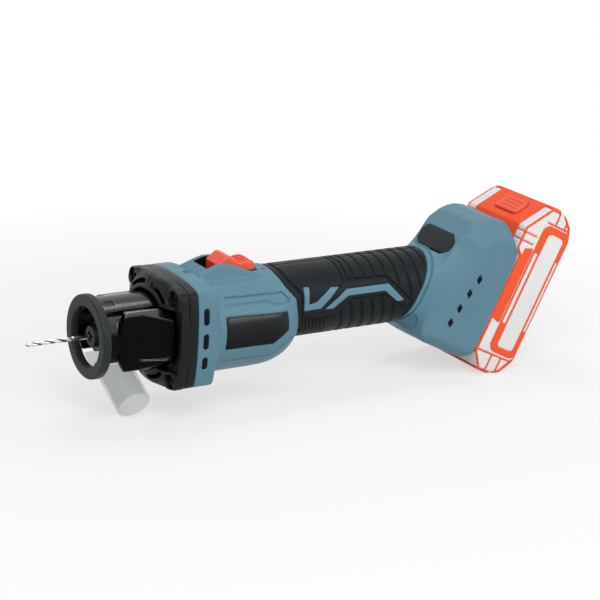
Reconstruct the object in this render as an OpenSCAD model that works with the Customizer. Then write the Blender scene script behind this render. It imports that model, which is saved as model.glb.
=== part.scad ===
// Cordless drywall cut out tool: a spindle motor in a barrel, a straight grip and a tilted foot
// that carries a slide-on battery pack. A round depth guide and a dust chute sit at the nose.
// The spindle lies along X with the bit towards -X and the guide's face at x = 0. Pieces at the
// foot are drawn in the foot's own frame: its x leaves the mating face, its z runs up the rails.
// The whole tool is then placed with the origin under its middle, on the surface it rests on.

/* [Bit and collet] */
// Diameter of the spiral bit
bit_d = 3.2; // [3:0.1:3.6]
// Length of the spiral bit
bit_len = 63; // [55:1:75]
// Length of the bit's flutes
flute_len = 30; // [20:1:36]
// Length of shank held by the collet
bit_grip = 13.5; // [10:0.5:15]
// Diameter of the collet nut
nut_d = 19.6; // [18.5:0.1:22]
// Length of the collet nut
nut_len = 16; // [15:0.5:18]
// Diameter of the collet at its face
collet_d = 9.2; // [9:0.1:9.8]
// Diameter of the collet at its tail
collet_tail_d = 6.6; // [6.2:0.1:7]
// Length of the collet
collet_len = 15.5; // [14:0.5:17]

/* [Spindle] */
// Reach of the spindle ahead of the bearing plate
spindle_reach = 47; // [45:0.5:49]
// Diameter of the threaded nose
nose_d = 12; // [11.8:0.1:12.4]
// Diameter of the spindle behind the nose
spindle_d = 14; // [13:0.5:15]
// Distance across the wrench flats
flats_w = 11.5; // [11:0.5:12.5]
// Diameter of the seat for fan and rotor
seat_d = 11; // [10:0.5:11.5]

/* [Depth guide] */
// Outside diameter of the guide foot
ring_d = 58.8; // [56:0.2:62]
// Hole in the guide foot
ring_hole_d = 42.2; // [40:0.2:44]
// Thickness of the guide foot
ring_t = 6.2; // [5:0.1:7]
// Thickness of the sliding arm
arm_t = 3.8; // [3:0.1:4.4]
// Angle that the arm covers
arm_spread = 72; // [60:1:74]

/* [Nose] */
// Outside diameter of the guide sleeve
sleeve_d = 45; // [44:0.2:46]
// Wall of the guide sleeve
sleeve_wall = 3; // [2.5:0.1:3.4]
// Length of the guide sleeve
sleeve_len = 50.3; // [49:0.1:51]
// Length of the side cheeks
cheek_len = 38.5; // [35:0.5:40]
// Width over the cheeks at the front
cheek_w = 48; // [47:0.5:50]
// Width over the cheeks at the rear
cheek_rear_w = 62; // [58:0.5:64]
// Height of the cheeks
cheek_h = 44; // [42:0.5:46]

/* [Dust chute] */
// Outside diameter of the chute
chute_d = 25; // [24:0.5:26]
// Wall of the chute
chute_wall = 2; // [1.6:0.1:2.2]
// Lean of the chute from upright
chute_tilt = 29.4; // [26:0.2:32]
// Diameter of the hose socket in the chute's end
socket_d = 22; // [21.5:0.1:22.5]
// Depth of the hose socket
socket_len = 14; // [10:0.5:16]

/* [Front cover and bearing plate] */
// Distance from the guide's face to the cover's flange
cover_face = 51.5; // [50:0.5:53]
// Length of the domed nose of the cover
dome_len = 6; // [5:0.5:7]
// Diameter of the dome at its front
dome_d = 62; // [60:0.5:64]
// Hole in the dome
cover_hole_d = 57; // [55.5:0.5:58]
// Thickness of the cover's flange
cover_t = 7.8; // [7.5:0.1:9]
// Thickness of the bearing plate
plate_t = 7.2; // [7:0.1:9]
// Distance between the corner screws
corner_pitch = 59; // [58:0.5:60]

/* [Housing barrel] */
// Width of the flange
flange_w = 80; // [79:0.5:84]
// Height of the flange
flange_h = 82; // [81:0.5:86]
// Corner radius of the flange
flange_r = 15; // [14:0.5:18]
// Thickness of the flange
flange_t = 12.5; // [11:0.5:14]
// Diameter of the motor barrel
barrel_d = 73; // [72:0.5:74]
// Straight length of the barrel
barrel_len = 49; // [48:0.5:54]
// Length of the barrel's rounded tail
tail_len = 38; // [36:0.5:42]
// Wall of the housing
wall = 3; // [2.6:0.1:3.2]

/* [Motor] */
// Outside diameter of the stator
stator_d = 60; // [59:0.2:61]
// Length of the stator
stator_len = 31; // [28:0.5:31]
// Number of stator teeth
tooth_n = 9; // [6:3:9]
// Outside diameter of the magnet ring
magnet_d = 32; // [30:0.5:33]
// Thickness of the magnets
magnet_t = 3; // [2.4:0.1:3.4]
// Diameter of the cooling fan
fan_d = 60; // [56:0.5:64]
// Number of fan blades
blade_n = 11; // [7:1:13]
// Outside diameter of the front bearing
front_bearing_d = 28; // [27:0.5:29]
// Width of the front bearing
front_bearing_w = 8; // [7.5:0.5:8]
// Outside diameter of the rear bearing
rear_bearing_d = 19; // [18:0.5:20]
// Width of the rear bearing
rear_bearing_w = 6; // [5:0.5:6]

/* [Switch] */
// Width of the slider
slider_w = 18; // [16:0.5:19]
// Length of the slider
slider_len = 30.5; // [29:0.5:33]
// Height of the slider
slider_h = 13; // [12:0.5:14]
// Travel of the slider
slider_travel = 8; // [6:0.5:8]

/* [Grip] */
// Width of the grip
grip_w = 50; // [49:0.5:52]
// Height of the grip
grip_h = 54; // [53:0.5:56]
// Corner radius of the grip
grip_r = 23; // [22:0.5:24]
// Height of the grip's axis above the spindle
grip_z = 7.8; // [7:0.1:8.6]
// Thickness of the soft skin
skin_t = 2.2; // [1.8:0.1:2.6]
// Wall of the housing under the skin
core_wall = 2.4; // [2:0.1:2.8]
// Pitch of the ribs
rib_pitch = 9; // [7:0.5:11]

/* [Foot] */
// Distance from the flange to the mating face, along the spindle
foot_reach = 248.1; // [240:0.5:258]
// Tilt of the mating face
foot_tilt = 25.5; // [23:0.5:28]
// Width of the foot
foot_w = 74; // [72:0.5:76]
// Height of the foot along the rails
foot_h = 107.5; // [106:0.5:110]
// Depth of the foot from its front to the mating face
foot_depth = 50; // [48:0.5:53]
// Width of the button on the foot
button_w = 41; // [38:0.5:42]
// Height of the button on the foot
button_h = 16.5; // [15:0.5:17]
// Travel of the button
button_travel = 0.8; // [0.6:0.1:1]

/* [Rails] */
// Depth of the rails
rail_depth = 9; // [8.5:0.1:9.5]
// Width of the rails
rail_w = 53; // [52:0.5:55]
// Width of the neck under the rails
neck_w = 46; // [44:0.5:47]
// Thickness of the lips that hold the rails
lip_t = 4; // [3.5:0.1:4.2]
// Length of the rails below the spindle
rail_low = 40; // [38:0.5:42]

/* [Battery pack] */
// Room and wall beside the ends of the cells
pack_side = 4.5; // [4:0.1:6]
// Thickness of the pack
pack_t = 42; // [41.5:0.5:45]
// Length of the pack below the spindle
pack_low = 58; // [57:0.5:60]
// Length of the pack above the spindle
pack_high = 80; // [79:0.5:84]
// Length of the edge that the pack rests on
pack_rest = 11; // [9:0.5:12]
// Wall of the pack
pack_wall = 2.6; // [2.2:0.1:2.8]
// Diameter of a cell
cell_d = 18.4; // [18:0.1:18.6]
// Length of a cell
cell_len = 65; // [60:0.5:66]
// Distance between cells
cell_pitch = 20; // [19.2:0.1:20.2]
// Number of cells
cell_n = 5; // [3:1:5]
// Travel of the latch button
latch_travel = 3; // [2:0.5:3.5]

/* [Hidden] */
$fn = 96;

// Overrun of every cut
cut = 0.5;
// Gap between pieces that are seated on each other
seat_gap = 0.05;
// Radial gap of a running fit
run_gap = 0.04;
// Gap round pieces that slide
slide_gap = 0.4;
// Half of a box that is larger than the tool
span = 2 * (foot_reach + foot_h);

// Places along the spindle, from the guide's face
plate_x = cover_face + cover_t;
flange_x = plate_x + plate_t;
flange_end = flange_x + flange_t;
tail_x = flange_end + barrel_len;
foot_x = flange_end + foot_reach;
spindle_x = plate_x - spindle_reach;
// How far the nut reaches ahead of the spindle
nut_over = 8.3;
// Lip of the nut ahead of the collet
nut_lip = 1.5;
nut_x = spindle_x - nut_over;
collet_x = nut_x + nut_lip;
bit_tail = collet_x + bit_grip;
bit_tip = bit_tail - bit_len;
// Height of the bit's point
bit_point = 2.5;
sleeve_x = plate_x - sleeve_len;
// How far the cheeks are let into the cover's flange
cheek_sink = 1.5;
cheek_end = cover_face + cheek_sink;
cheek_x = cheek_end - cheek_len;
dome_x = cover_face - dome_len;
dome_wall = 3;
// How far the dome widens from its front to the flange
dome_flare = 10.1;
// The arc vents: their distance from the dome's front edge, lean from upright and spread
vent_in = 2;
vent_lean = 25;
vent_spread = 36;
// Room between the arm's end and the bearing plate
arm_room = 2.3;
arm_end = plate_x - arm_room;
arm_d = sleeve_d + 2 * (slide_gap + arm_t);
sleeve_bore = sleeve_d - 2 * sleeve_wall;

// The motor, from the flange to the rear bearing
fan_room = 1;
fan_w = 9.5;
fan_x = flange_x + fan_room;
stator_back = 7;
stator_x = flange_end + stator_back;
stator_bore = magnet_d + 3 * slide_gap;
stator_rim = 4.5;
tooth_w = 6;
coil_t = 2.2;
coil_out = 4.8;
coil_end = stator_x + stator_len + coil_out;
rotor_d = magnet_d - 2 * magnet_t - seat_gap;
rotor_room = 1;
board_room = 0.6;
board_t = 1.6;
motor_board_x = coil_end + board_room;
motor_board_d = 46;
cap_room = 2.5;
cap_x = motor_board_x + board_t + cap_room;
cap_t = 4;
cap_hub_d = 26;
rear_journal_d = 7;
rear_seat_d = 9;
rear_bearing_x = cap_x + (cap_t - seat_gap) / 4;
cap_end = rear_bearing_x + rear_bearing_w;
bearing_x = flange_x - front_bearing_w;
boss_d = 35;
boss_x = bearing_x - dome_wall + seat_gap;
lip_hole_d = 18;
support_t = 3;
motor_cavity_d = barrel_d - 2 * wall;
// Radius of the flange's bulged sides
flange_bulge_r = 150;

// The switch on top of the barrel
slider_back = 17.5;
slider_x = flange_end + slider_back;
slider_end = slider_x + slider_len;
pocket_sink = 1.3;
pocket_z = barrel_d / 2 - pocket_sink;
slider_z = pocket_z + slide_gap;
pocket_w = slider_w + 2 * slide_gap;
stem_w = 7;
stem_len = 12;
stem_back = 8;
stem_x = slider_x + stem_back;
link_w = 8;
link_t = 1.8;
link_z = stator_d / 2 + 2 * slide_gap;
link_top = link_z + link_t;
link_drop_t = 2.8;
link_drop_x = cap_end + slide_gap - link_drop_t;
link_low_z = 24;
link_low_t = 2.5;
link_room = 2;
link_path_w = link_w + 2 * link_room;
switch_back = 22;
switch_x = tail_x + switch_back;
switch_len = 24;
switch_w = 20;
switch_h = 19;
switch_z = link_low_z + link_low_t - switch_h;

// Outline of the slider, as shares of its length and height
slider_shares = [[0, 0], [1, 0], [1, 0.4], [0.95, 0.56], [0.84, 0.62], [0.73, 0.6], [0.64, 0.55],
                 [0.56, 0.59], [0.34, 0.96], [0.28, 1], [0.22, 0.98], [0, 0.58]];
// Outline of the guard beside it, as shares of its length and its height over the barrel's axis
guard_front = 1;
guard_len = 54;
guard_top = 45.6;
guard_shares = [[0, 0.7], [1, 0.7], [1, 0.78], [0.8, 0.79], [0.63, 0.875], [0.46, 0.97],
                [0.32, 1], [0.195, 0.975], [0, 0.87]];
// Section of the guard, as shares of the barrel's radius and the guard's top
guard_section_shares = [[0, 0.6], [0.58, 0.6], [0.37, 1], [0, 1]];

// The side plate on the barrel, its outline as shares of its length and height
plate_shares = [[0, 0.02], [0.75, 0], [1, 0.35], [0.98, 0.92], [0, 1]];
side_plate_back = 11.5;
side_plate_x = flange_end + side_plate_back;
side_plate_len = 52.5;
side_plate_h = 24.5;
side_plate_z = -11;
side_plate_t = 0.6;
side_plate_proud = 0.25;

// The collar that the soft grip grows out of, its outline as shares of its length and half the grip's height
collar_len = 32;
collar_proud = 0.6;
collar_x = tail_x - collar_len / 4;
collar_shares = [[0, -1.6], [0.62, -1.6], [0.93, -0.96], [1.015, -0.74], [1.06, -0.6], [1.035, 0.32],
                 [0.79, 0.64], [0.6, 1.08], [0.6, 1.6], [0, 1.6]];

// The grip
grip_back = 12;
grip_start = tail_x + grip_back;
core_sink_share = 0.7;
core_end = foot_x - core_sink_share * foot_depth;
// Distance of the skin's rear edge from the mating face
skin_end = 63;
rib_depth = 0.8;
rib_w = 2.2;
rib_n = 8;
rib_back = 72;
rib_x = tail_x + rib_back;
double_groove_back = 65;
double_groove_x = tail_x + double_groove_back;
side_panel_h = 28;
stripe_back = 32;
stripe_x = tail_x + stripe_back;
stripe_len = 88;
stripe_z = 3.5;
stripe_h = 20;
stripe_proud = 0.3;
// The two stripes, as shares of their length and height
hook_stripe_shares = [[0, 0.98], [0.055, 0.97], [0.047, 0.36], [0.114, 0.4], [0.262, 0.88],
                      [0.338, 0.85], [0.166, 0.15], [0.002, 0.125]];
wave_stripe_shares = [[0.206, 0.09], [0.284, 0.085], [0.425, 0.495], [0.792, 0.49], [0.925, 0],
                      [0.993, 0.04], [0.828, 0.74], [0.411, 0.745]];

// The controller and the switch are held by slotted ribs
controller_back = 54;
controller_x = tail_x + controller_back;
controller_len = 64;
controller_w = 34;
controller_h = 28;
fin_n = 9;
fin_depth = 3;
frame_rib_t = 2.5;

// The foot, in its own frame
foot_front_w = 52;
foot_shoulder = 40;
foot_bevel = 24;
foot_edge = 34;
foot_corner_r = 11;
foot_side = [
    [0, -foot_h / 2, 1.5 * lip_t], [0, foot_edge, lip_t], [-foot_bevel, foot_h / 2, 2.4 * lip_t],
    [-0.86 * foot_depth, 0.82 * foot_h / 2, 3 * lip_t], [-foot_depth, foot_h / 4, 2 * lip_t],
    [-foot_depth, -foot_h / 2, lip_t]
];
foot_plan = [
    [0, -foot_w / 2, 0], [0, foot_w / 2, 0], [-foot_shoulder, foot_w / 2, 2 * lip_t],
    [-foot_depth, foot_front_w / 2, lip_t], [-foot_depth, -foot_front_w / 2, lip_t],
    [-foot_shoulder, -foot_w / 2, 2 * lip_t]
];
channel_floor = rail_depth + slide_gap;
// Side vents, as shares of the foot's depth and half its height
diamond_shares = [[-0.512, 0.108], [-0.574, -0.125], [-0.626, -0.368], [-0.672, -0.597]];
diamond_w = 4.6;

// The button and its board
button_u = 19.5;
button_proud = 0.9;
button_t = 2;
button_corner = 5;
// How far the pocket is cut ahead of the foot, through the top of the neck
button_room = 8;
button_pocket = button_t - button_proud + button_travel + slide_gap / 2;
plunger_d = 7;
plunger_len = 3.3;
tact_t = 0.5;
board_post_d = 4;
button_board_w = 34;
button_board_h = 12;
plunger_end = -foot_depth - button_proud + button_t + plunger_len;
button_board_n = plunger_end + button_travel + slide_gap / 4 + tact_t;

// Terminals, in the foot's frame
blade_ys = [for (i = [-1.5:1:1.5]) i * rail_w / 6.6];
blade_t = 0.8;
blade_len = 12;
blade_top = 8.2;
blade_low = 3.4;
block_w = 35;
block_end = -rail_low / 2;
block_low = 2.2;
clip_t = 0.5;
clip_gap = 0.2;
clip_len = 10;
slot_w = 2.6;
slot_len = 15;

// Screws through the grip, as shares of the distance from tail to foot and of half the grip's height
grip_screw_shares = [[0.07, -1.18], [0.18, -0.51], [0.643, 0.6], [0.633, -0.62]];
// Screws through the foot, as shares of its depth and half its height
foot_screw_shares = [[-0.72, 0.745], [-0.68, -0.82]];
screw_d = 3.2;
screw_head_d = 6;
screw_head_t = 2.4;
screw_seat_y = 14;
screw_end_y = -12;
screw_boss_d = 8;
screw_drive_d = 2.6;

// The corner screws of the nose
corner_screw_d = 4;
corner_head_d = 8;
corner_head_t = 3.5;
corner_pocket_d = 10.4;
corner_sink = 5;
corner_seat = cover_face + corner_sink;
corner_screw_short = 1.5;
corner_screw_end = flange_end - corner_screw_short;

// The battery pack, in the foot's frame
pack_w = cell_len + 2 * pack_side;
mate_gap = 0.4;
step_gap = 1.2;
pack_split = 12;
function step_u(n) = foot_edge - n * (foot_h / 2 - foot_edge) / foot_bevel + step_gap;
pack_shoulder = 5;
pack_corner_share = [0.536, -0.988];
pack_corner = [pack_corner_share[0] * pack_t, pack_corner_share[1] * pack_low];
// The pack's side outline: below the spindle, above it, and the step over the foot's bevel
pack_low_shares = [[0.286, -0.983]];
pack_high_shares = [[0.988, 0.725], [0.857, 0.875], [0.548, 1], [0.31, 0.9875], [-0.119, 0.7125]];
pack_outline = concat(
    [[mate_gap, -0.76 * pack_low]],
    [for (p = pack_low_shares) [p[0] * pack_t, p[1] * pack_low]],
    [pack_corner, pack_corner + pack_rest * [cos(foot_tilt), sin(foot_tilt)], [pack_t, -0.672 * pack_low]],
    [for (p = pack_high_shares) [p[0] * pack_t, p[1] * pack_high]],
    [[-pack_shoulder, step_u(-pack_shoulder)], [mate_gap, step_u(mate_gap)]]
);
pack_edge_r = 4;
pack_corner_r = 12;
cell_n_pos = 27.8;
cell_u = 4;
holder_t = 5;
holder_back = 5.5;
holder_y = cell_len / 2 - holder_t - holder_back;
pack_cavity_low = 47.5;
pack_cavity_high = 57;
trim_t = 0.9;
trim_proud = 0.3;
trim_w = 4.2;
trim_low_share = -0.64;
trim_high_share = 0.75;
trim_in_share = 0.34;
trim_out_share = 0.915;
latch_w = 26;
latch_len = 15;
latch_t = 7.5;
latch_proud = 1.5;
latch_r = 3;
pack_board_h = 78;
pack_board_w = 56;
pack_screw_y = 24;
pack_screw_us = [62, -51.2];
pack_screw_seat = 26;
pack_screw_len = 17;

// The tool stands on the pack's corner and on the chute's end
function foot_point_x(p) = foot_x + p[0] * cos(foot_tilt) + p[1] * sin(foot_tilt);
function foot_point_z(p) = -p[0] * sin(foot_tilt) + p[1] * cos(foot_tilt);
floor_z = min([for (p = pack_outline) foot_point_z(p)]);
rear_x = max([for (p = pack_outline) foot_point_x(p)]);
chute_z = -29;
// Room between the chute's rear side and the dome's rim
chute_room = 5.4;
chute_x = dome_x - chute_room - chute_d / 2 * cos(chute_tilt)
    - (chute_z + dome_d / 2 + chute_d / 2 * sin(chute_tilt)) * tan(chute_tilt);
chute_top = 16;
chute_len = (chute_z - floor_z - chute_d / 2 * sin(chute_tilt)) / cos(chute_tilt);
chute_bore = chute_d - 2 * chute_wall;
saddle_x = 8;
saddle_len = 32;
saddle_t = 2;
saddle_spread = 84;

// Outlines: an outline runs anticlockwise, and a corner is [x, y, radius]
function unit(v) = v / norm(v);
function left_of(v) = [-v[1], v[0]];
function flat(p) = [p[0], p[1]];
function before(pts, i) = flat(pts[(i + len(pts) - 1) % len(pts)]);
function after(pts, i) = flat(pts[(i + 1) % len(pts)]);

// Moves every side of an outline inwards by d
function inset_point(a, b, c, d) =
    let (p = left_of(unit(b - a)), q = left_of(unit(c - b))) b + d * (p + q) / (1 + p * q);
function inset(pts, d) =
    [for (i = [0:len(pts) - 1]) inset_point(before(pts, i), flat(pts[i]), after(pts, i), d)];
function inset_corners(pts, d) =
    let (moved = inset(pts, d))
    [for (i = [0:len(pts) - 1]) [moved[i][0], moved[i][1], max(pts[i][2] - d, 0)]];

// Turns each corner of an outline into an arc of its radius
function corner_arc(a, b, c, r, steps) =
    let (u = unit(a - b), v = unit(c - b), half = acos(u * v) / 2,
         centre = b + unit(u + v) * r / sin(half),
         from = b + u * r / tan(half) - centre,
         turn = sign(cross(b - a, c - b)) * (180 - 2 * half),
         start = atan2(from[1], from[0]))
    [for (k = [0:steps]) centre + r * [cos(start + turn * k / steps), sin(start + turn * k / steps)]];
function rounded(pts, steps = 6) =
    [for (i = [0:len(pts) - 1])
        each pts[i][2] == 0 ? [flat(pts[i])]
            : corner_arc(before(pts, i), flat(pts[i]), after(pts, i), pts[i][2], steps)];
function scaled(shares, w, h) = [for (p = shares) [p[0] * w, p[1] * h]];

// Placing
module placed() translate([-(bit_tip + rear_x) / 2, 0, -floor_z]) children();
module in_foot() translate([foot_x, 0, 0]) rotate([0, foot_tilt, 0]) children();
module in_chute() translate([chute_x, 0, chute_z]) rotate([0, 180 - chute_tilt, 0]) children();
module both_sides() for (side = [0, 1]) mirror([0, side, 0]) children();

// Drawing: sections and profiles swept along one axis
module along_x(x0, x1) translate([x0, 0, 0]) rotate([90, 0, 90]) linear_extrude(x1 - x0) children();
module across_y(w) rotate([90, 0, 0]) translate([0, 0, -w / 2]) linear_extrude(w) children();
module about_x(angle = 360) rotate([90, 0, 90]) rotate_extrude(angle = angle) children();
module rod_x(d, x0, x1) translate([x0, 0, 0]) rotate([0, 90, 0]) cylinder(d = d, h = x1 - x0);
module cone_x(d0, d1, x0, x1) translate([x0, 0, 0]) rotate([0, 90, 0])
    cylinder(d1 = d0, d2 = d1, h = x1 - x0);
module rod_y(d, y0, y1) translate([0, y0, 0]) rotate([-90, 0, 0]) cylinder(d = d, h = y1 - y0);
module ring_x(d, hole_d, x0, x1) difference() {
    rod_x(d, x0, x1);
    rod_x(hole_d, x0 - cut, x1 + cut);
}
module arc_x(d, hole_d, x0, x1, from, spread) rotate([from, 0, 0]) about_x(spread)
    translate([hole_d / 2, x0]) square([(d - hole_d) / 2, x1 - x0]);
module block(lo, hi) translate(lo) cube(hi - lo);
module rounded_rect(w, h, r) {
    square([w - 2 * r, h], center = true);
    square([w, h - 2 * r], center = true);
    for (x = [-1, 1], y = [-1, 1]) translate([x * (w / 2 - r), y * (h / 2 - r)]) circle(r);
}
module bevelled_rect(w, h, bevel) {
    x = w / 2;
    y = h / 2;
    polygon([[-x, bevel - y], [bevel - x, -y], [x - bevel, -y], [x, bevel - y],
             [x, y - bevel], [x - bevel, y], [bevel - x, y], [-x, y - bevel]]);
}
module only_side(side) intersection() {
    children();
    translate([-span, side < 0 ? -span : 0, -span]) cube([2 * span, span, 2 * span]);
}

// The bit: a round shank, two twisted flutes and a point
module spiral_bit() color("silver") placed() {
    flute_start = bit_tip + bit_point;
    rod_x(bit_d, flute_start + flute_len, bit_tail);
    translate([flute_start, 0, 0]) rotate([0, 90, 0])
        linear_extrude(flute_len, twist = -flute_len / bit_d * 48, slices = 16) flute_section();
    cone_x(bit_d / 5, bit_d * 0.9, bit_tip, bit_tip + bit_point);
}
module flute_section() difference() {
    circle(d = bit_d, $fn = 16);
    for (side = [-1, 1]) translate([side * bit_d * 0.55, 0]) circle(d = bit_d * 0.62, $fn = 8);
}

// The collet: a tapered sleeve with four slits
module collet() color("dimgray") placed() difference() {
    cone_x(collet_d, collet_tail_d, collet_x, collet_x + collet_len);
    rod_x(bit_d + 2 * seat_gap, collet_x - cut, collet_x + collet_len + cut);
    slit_w = bit_d / 5;
    for (a = [0, 90]) rotate([a, 0, 0])
        block([collet_x - cut, -slit_w / 2, -collet_d], [collet_x + 0.75 * collet_len, slit_w / 2, collet_d]);
}

// The collet nut: a hexagon between a tapered face and a round collar
module collet_nut() color("#1c222b") placed() difference() {
    hex_len = 0.55 * nut_len;
    union() {
        cone_x(0.72 * nut_d, 0.88 * nut_d, nut_x, nut_x + 0.2 * nut_len);
        translate([nut_x + 0.2 * nut_len, 0, 0]) rotate([0, 90, 0]) cylinder(d = nut_d, h = hex_len, $fn = 6);
        rod_x(nut_d, nut_x + 0.2 * nut_len + hex_len, nut_x + nut_len);
    }
    rod_x(0.78 * collet_d, nut_x - cut, nut_x + nut_len);
    rod_x(collet_d + 2 * run_gap, collet_x - seat_gap, nut_x + nut_len);
    rod_x(nose_d + 2 * run_gap, spindle_x - nut_lip / 5, nut_x + nut_len + cut);
}

// The spindle: collet seat, wrench flats, bearing journals and the seat of the rotor
module spindle() color("silver") placed() difference() {
    nose_end = nut_x + nut_len + nut_lip;
    union() {
        rod_x(nose_d, spindle_x, nose_end);
        rod_x(spindle_d, nose_end, bearing_x);
        rod_x(nose_d, bearing_x, flange_x + seat_gap);
        rod_x(seat_d, flange_x, stator_x + stator_len + rotor_room);
        rod_x(rear_seat_d, stator_x, rear_bearing_x - seat_gap);
        rod_x(rear_journal_d, stator_x, cap_end);
    }
    cone_x(collet_d + 2 * run_gap, collet_tail_d + 2 * run_gap, collet_x, collet_x + collet_len);
    rod_x(collet_tail_d + 2 * run_gap, collet_x + collet_len - run_gap, collet_x + collet_len + nut_lip);
    flats_len = spindle_d;
    for (side = [0, 180]) rotate([side, 0, 0])
        block([nose_end + nut_lip, flats_w / 2, -spindle_d],
              [nose_end + nut_lip + flats_len, spindle_d, spindle_d]);
}

// Rotor: a core on the spindle with four magnets round it
module rotor_core() color("gray") placed()
    ring_x(rotor_d, seat_d + 2 * run_gap, stator_x + rotor_room, stator_x + stator_len - rotor_room);
module rotor_magnets() color("#3a3d40") placed() for (a = [0:90:270])
    arc_x(magnet_d, rotor_d + seat_gap, stator_x + rotor_room, stator_x + stator_len - rotor_room, a, 84);

// The fan: a hub and a back plate with leaning vanes
module cooling_fan() color("#2b2e31") placed() difference() {
    back_t = fan_w / 6;
    vane_t = fan_w / 7;
    union() {
        rod_x(0.34 * fan_d, fan_x, fan_x + fan_w);
        rod_x(fan_d, fan_x + fan_w - back_t, fan_x + fan_w);
        for (i = [0:blade_n - 1]) rotate([i * 360 / blade_n, 0, 0])
            fan_vane(vane_t, fan_x + fan_w - back_t);
    }
    rod_x(seat_d + 2 * run_gap, fan_x - cut, fan_x + fan_w + cut);
}
module fan_vane(t, x1) {
    lean = -0.1 * fan_d;
    block([fan_x + t / 2, 0.1 * fan_d, lean], [x1 + t / 2, 0.47 * fan_d, lean + t]);
}

// Bearings: sealed rings with a groove beside each race
module bearing(d, bore_d, x0, w) difference() {
    ring_x(d, bore_d, x0, x0 + w);
    groove = (d - bore_d) / 10;
    for (x = [x0 - cut, x0 + w - groove / 3])
        ring_x(d - 3 * groove, bore_d + 3 * groove, x, x + cut + groove / 3);
}
module front_bearing() color("silver") placed()
    bearing(front_bearing_d, nose_d + 2 * run_gap, bearing_x + seat_gap, front_bearing_w - seat_gap);
module rear_bearing() color("silver") placed()
    bearing(rear_bearing_d, rear_journal_d + 2 * run_gap, rear_bearing_x, rear_bearing_w - seat_gap);

// The cap that centres the rear bearing, notched for the switch link
module rear_bearing_cap() color("#26292c") placed() difference() {
    union() {
        rod_x(stator_d, cap_x, cap_x + cap_t);
        rod_x(cap_hub_d, cap_x, cap_end);
    }
    rod_x(rear_bearing_d + 2 * seat_gap, rear_bearing_x - seat_gap, cap_end + cut);
    rod_x(rear_seat_d + 4 * slide_gap, cap_x - cut, cap_end);
    block([cap_x - cut, -link_path_w / 2, link_low_z - 2 * slide_gap],
          [cap_end + cut, link_path_w / 2, stator_d]);
    for (a = [60:60:300]) rotate([a + 30, 0, 0])
        arc_x(0.84 * stator_d, cap_hub_d + 2 * wall, cap_x - cut, cap_x + cap_t + cut, -18, 36);
}

// Stator: a toothed core with one coil round each tooth
module stator_core() color("#5b5f63") placed() along_x(stator_x, stator_x + stator_len) {
    difference() {
        circle(d = stator_d);
        circle(d = stator_d - 2 * stator_rim);
    }
    difference() {
        for (i = [0:tooth_n - 1]) rotate(i * 360 / tooth_n)
            translate([0, -tooth_w / 2]) square([(stator_d - stator_rim) / 2, tooth_w]);
        circle(d = stator_bore);
    }
}
module stator_coils() color("#b06a34") placed() for (i = [0:tooth_n - 1])
    rotate([i * 360 / tooth_n, 0, 0]) coil();
module coil() difference() {
    inner = stator_bore / 2 + coil_t;
    outer = stator_d / 2 - stator_rim - coil_t / 2;
    half = tooth_w / 2 + coil_t;
    block([stator_x - coil_out, inner, -half], [coil_end, outer, half]);
    block([stator_x - seat_gap, inner - cut, -tooth_w / 2 - seat_gap],
          [stator_x + stator_len + seat_gap, outer + cut, tooth_w / 2 + seat_gap]);
}
module motor_board() color("#1f5a3a") placed() {
    ring_x(motor_board_d, 2 * rear_seat_d, motor_board_x, motor_board_x + board_t);
    for (a = [0:120:240]) rotate([a + 30, 0, 0])
        block([motor_board_x + board_t, motor_board_d / 3, -tooth_w / 3],
              [motor_board_x + 2 * board_t, motor_board_d / 3 + tooth_w / 2, tooth_w / 3]);
}

// The flange outline that cover, bearing plate and housing share
module flange_outline() intersection() {
    rounded_rect(flange_w, flange_h, flange_r);
    intersection_for(side = [-1, 1]) translate([0, side * (flange_h / 2 - flange_bulge_r)])
        circle(flange_bulge_r);
    intersection_for(side = [-1, 1]) translate([side * (flange_w / 2 - flange_bulge_r), 0])
        circle(flange_bulge_r);
}
module at_corners() for (y = [-1, 1], z = [-1, 1])
    translate([0, y * corner_pitch / 2, z * corner_pitch / 2]) children();

// The bearing plate: a flange with a bearing seat and air windows
module bearing_plate() color("#1d1f21") placed() difference() {
    union() {
        along_x(plate_x, flange_x) flange_outline();
        rod_x(boss_d, boss_x, flange_x);
    }
    rod_x(front_bearing_d + 2 * seat_gap, bearing_x, flange_x + cut);
    rod_x(lip_hole_d, boss_x - cut, flange_x);
    for (a = [0:60:300])
        arc_x(motor_cavity_d - wall, sleeve_d + wall, plate_x - cut, flange_x + cut, a + 10, 40);
    at_corners() rod_x(corner_screw_d + slide_gap, plate_x - cut, flange_x + cut);
}

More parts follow.
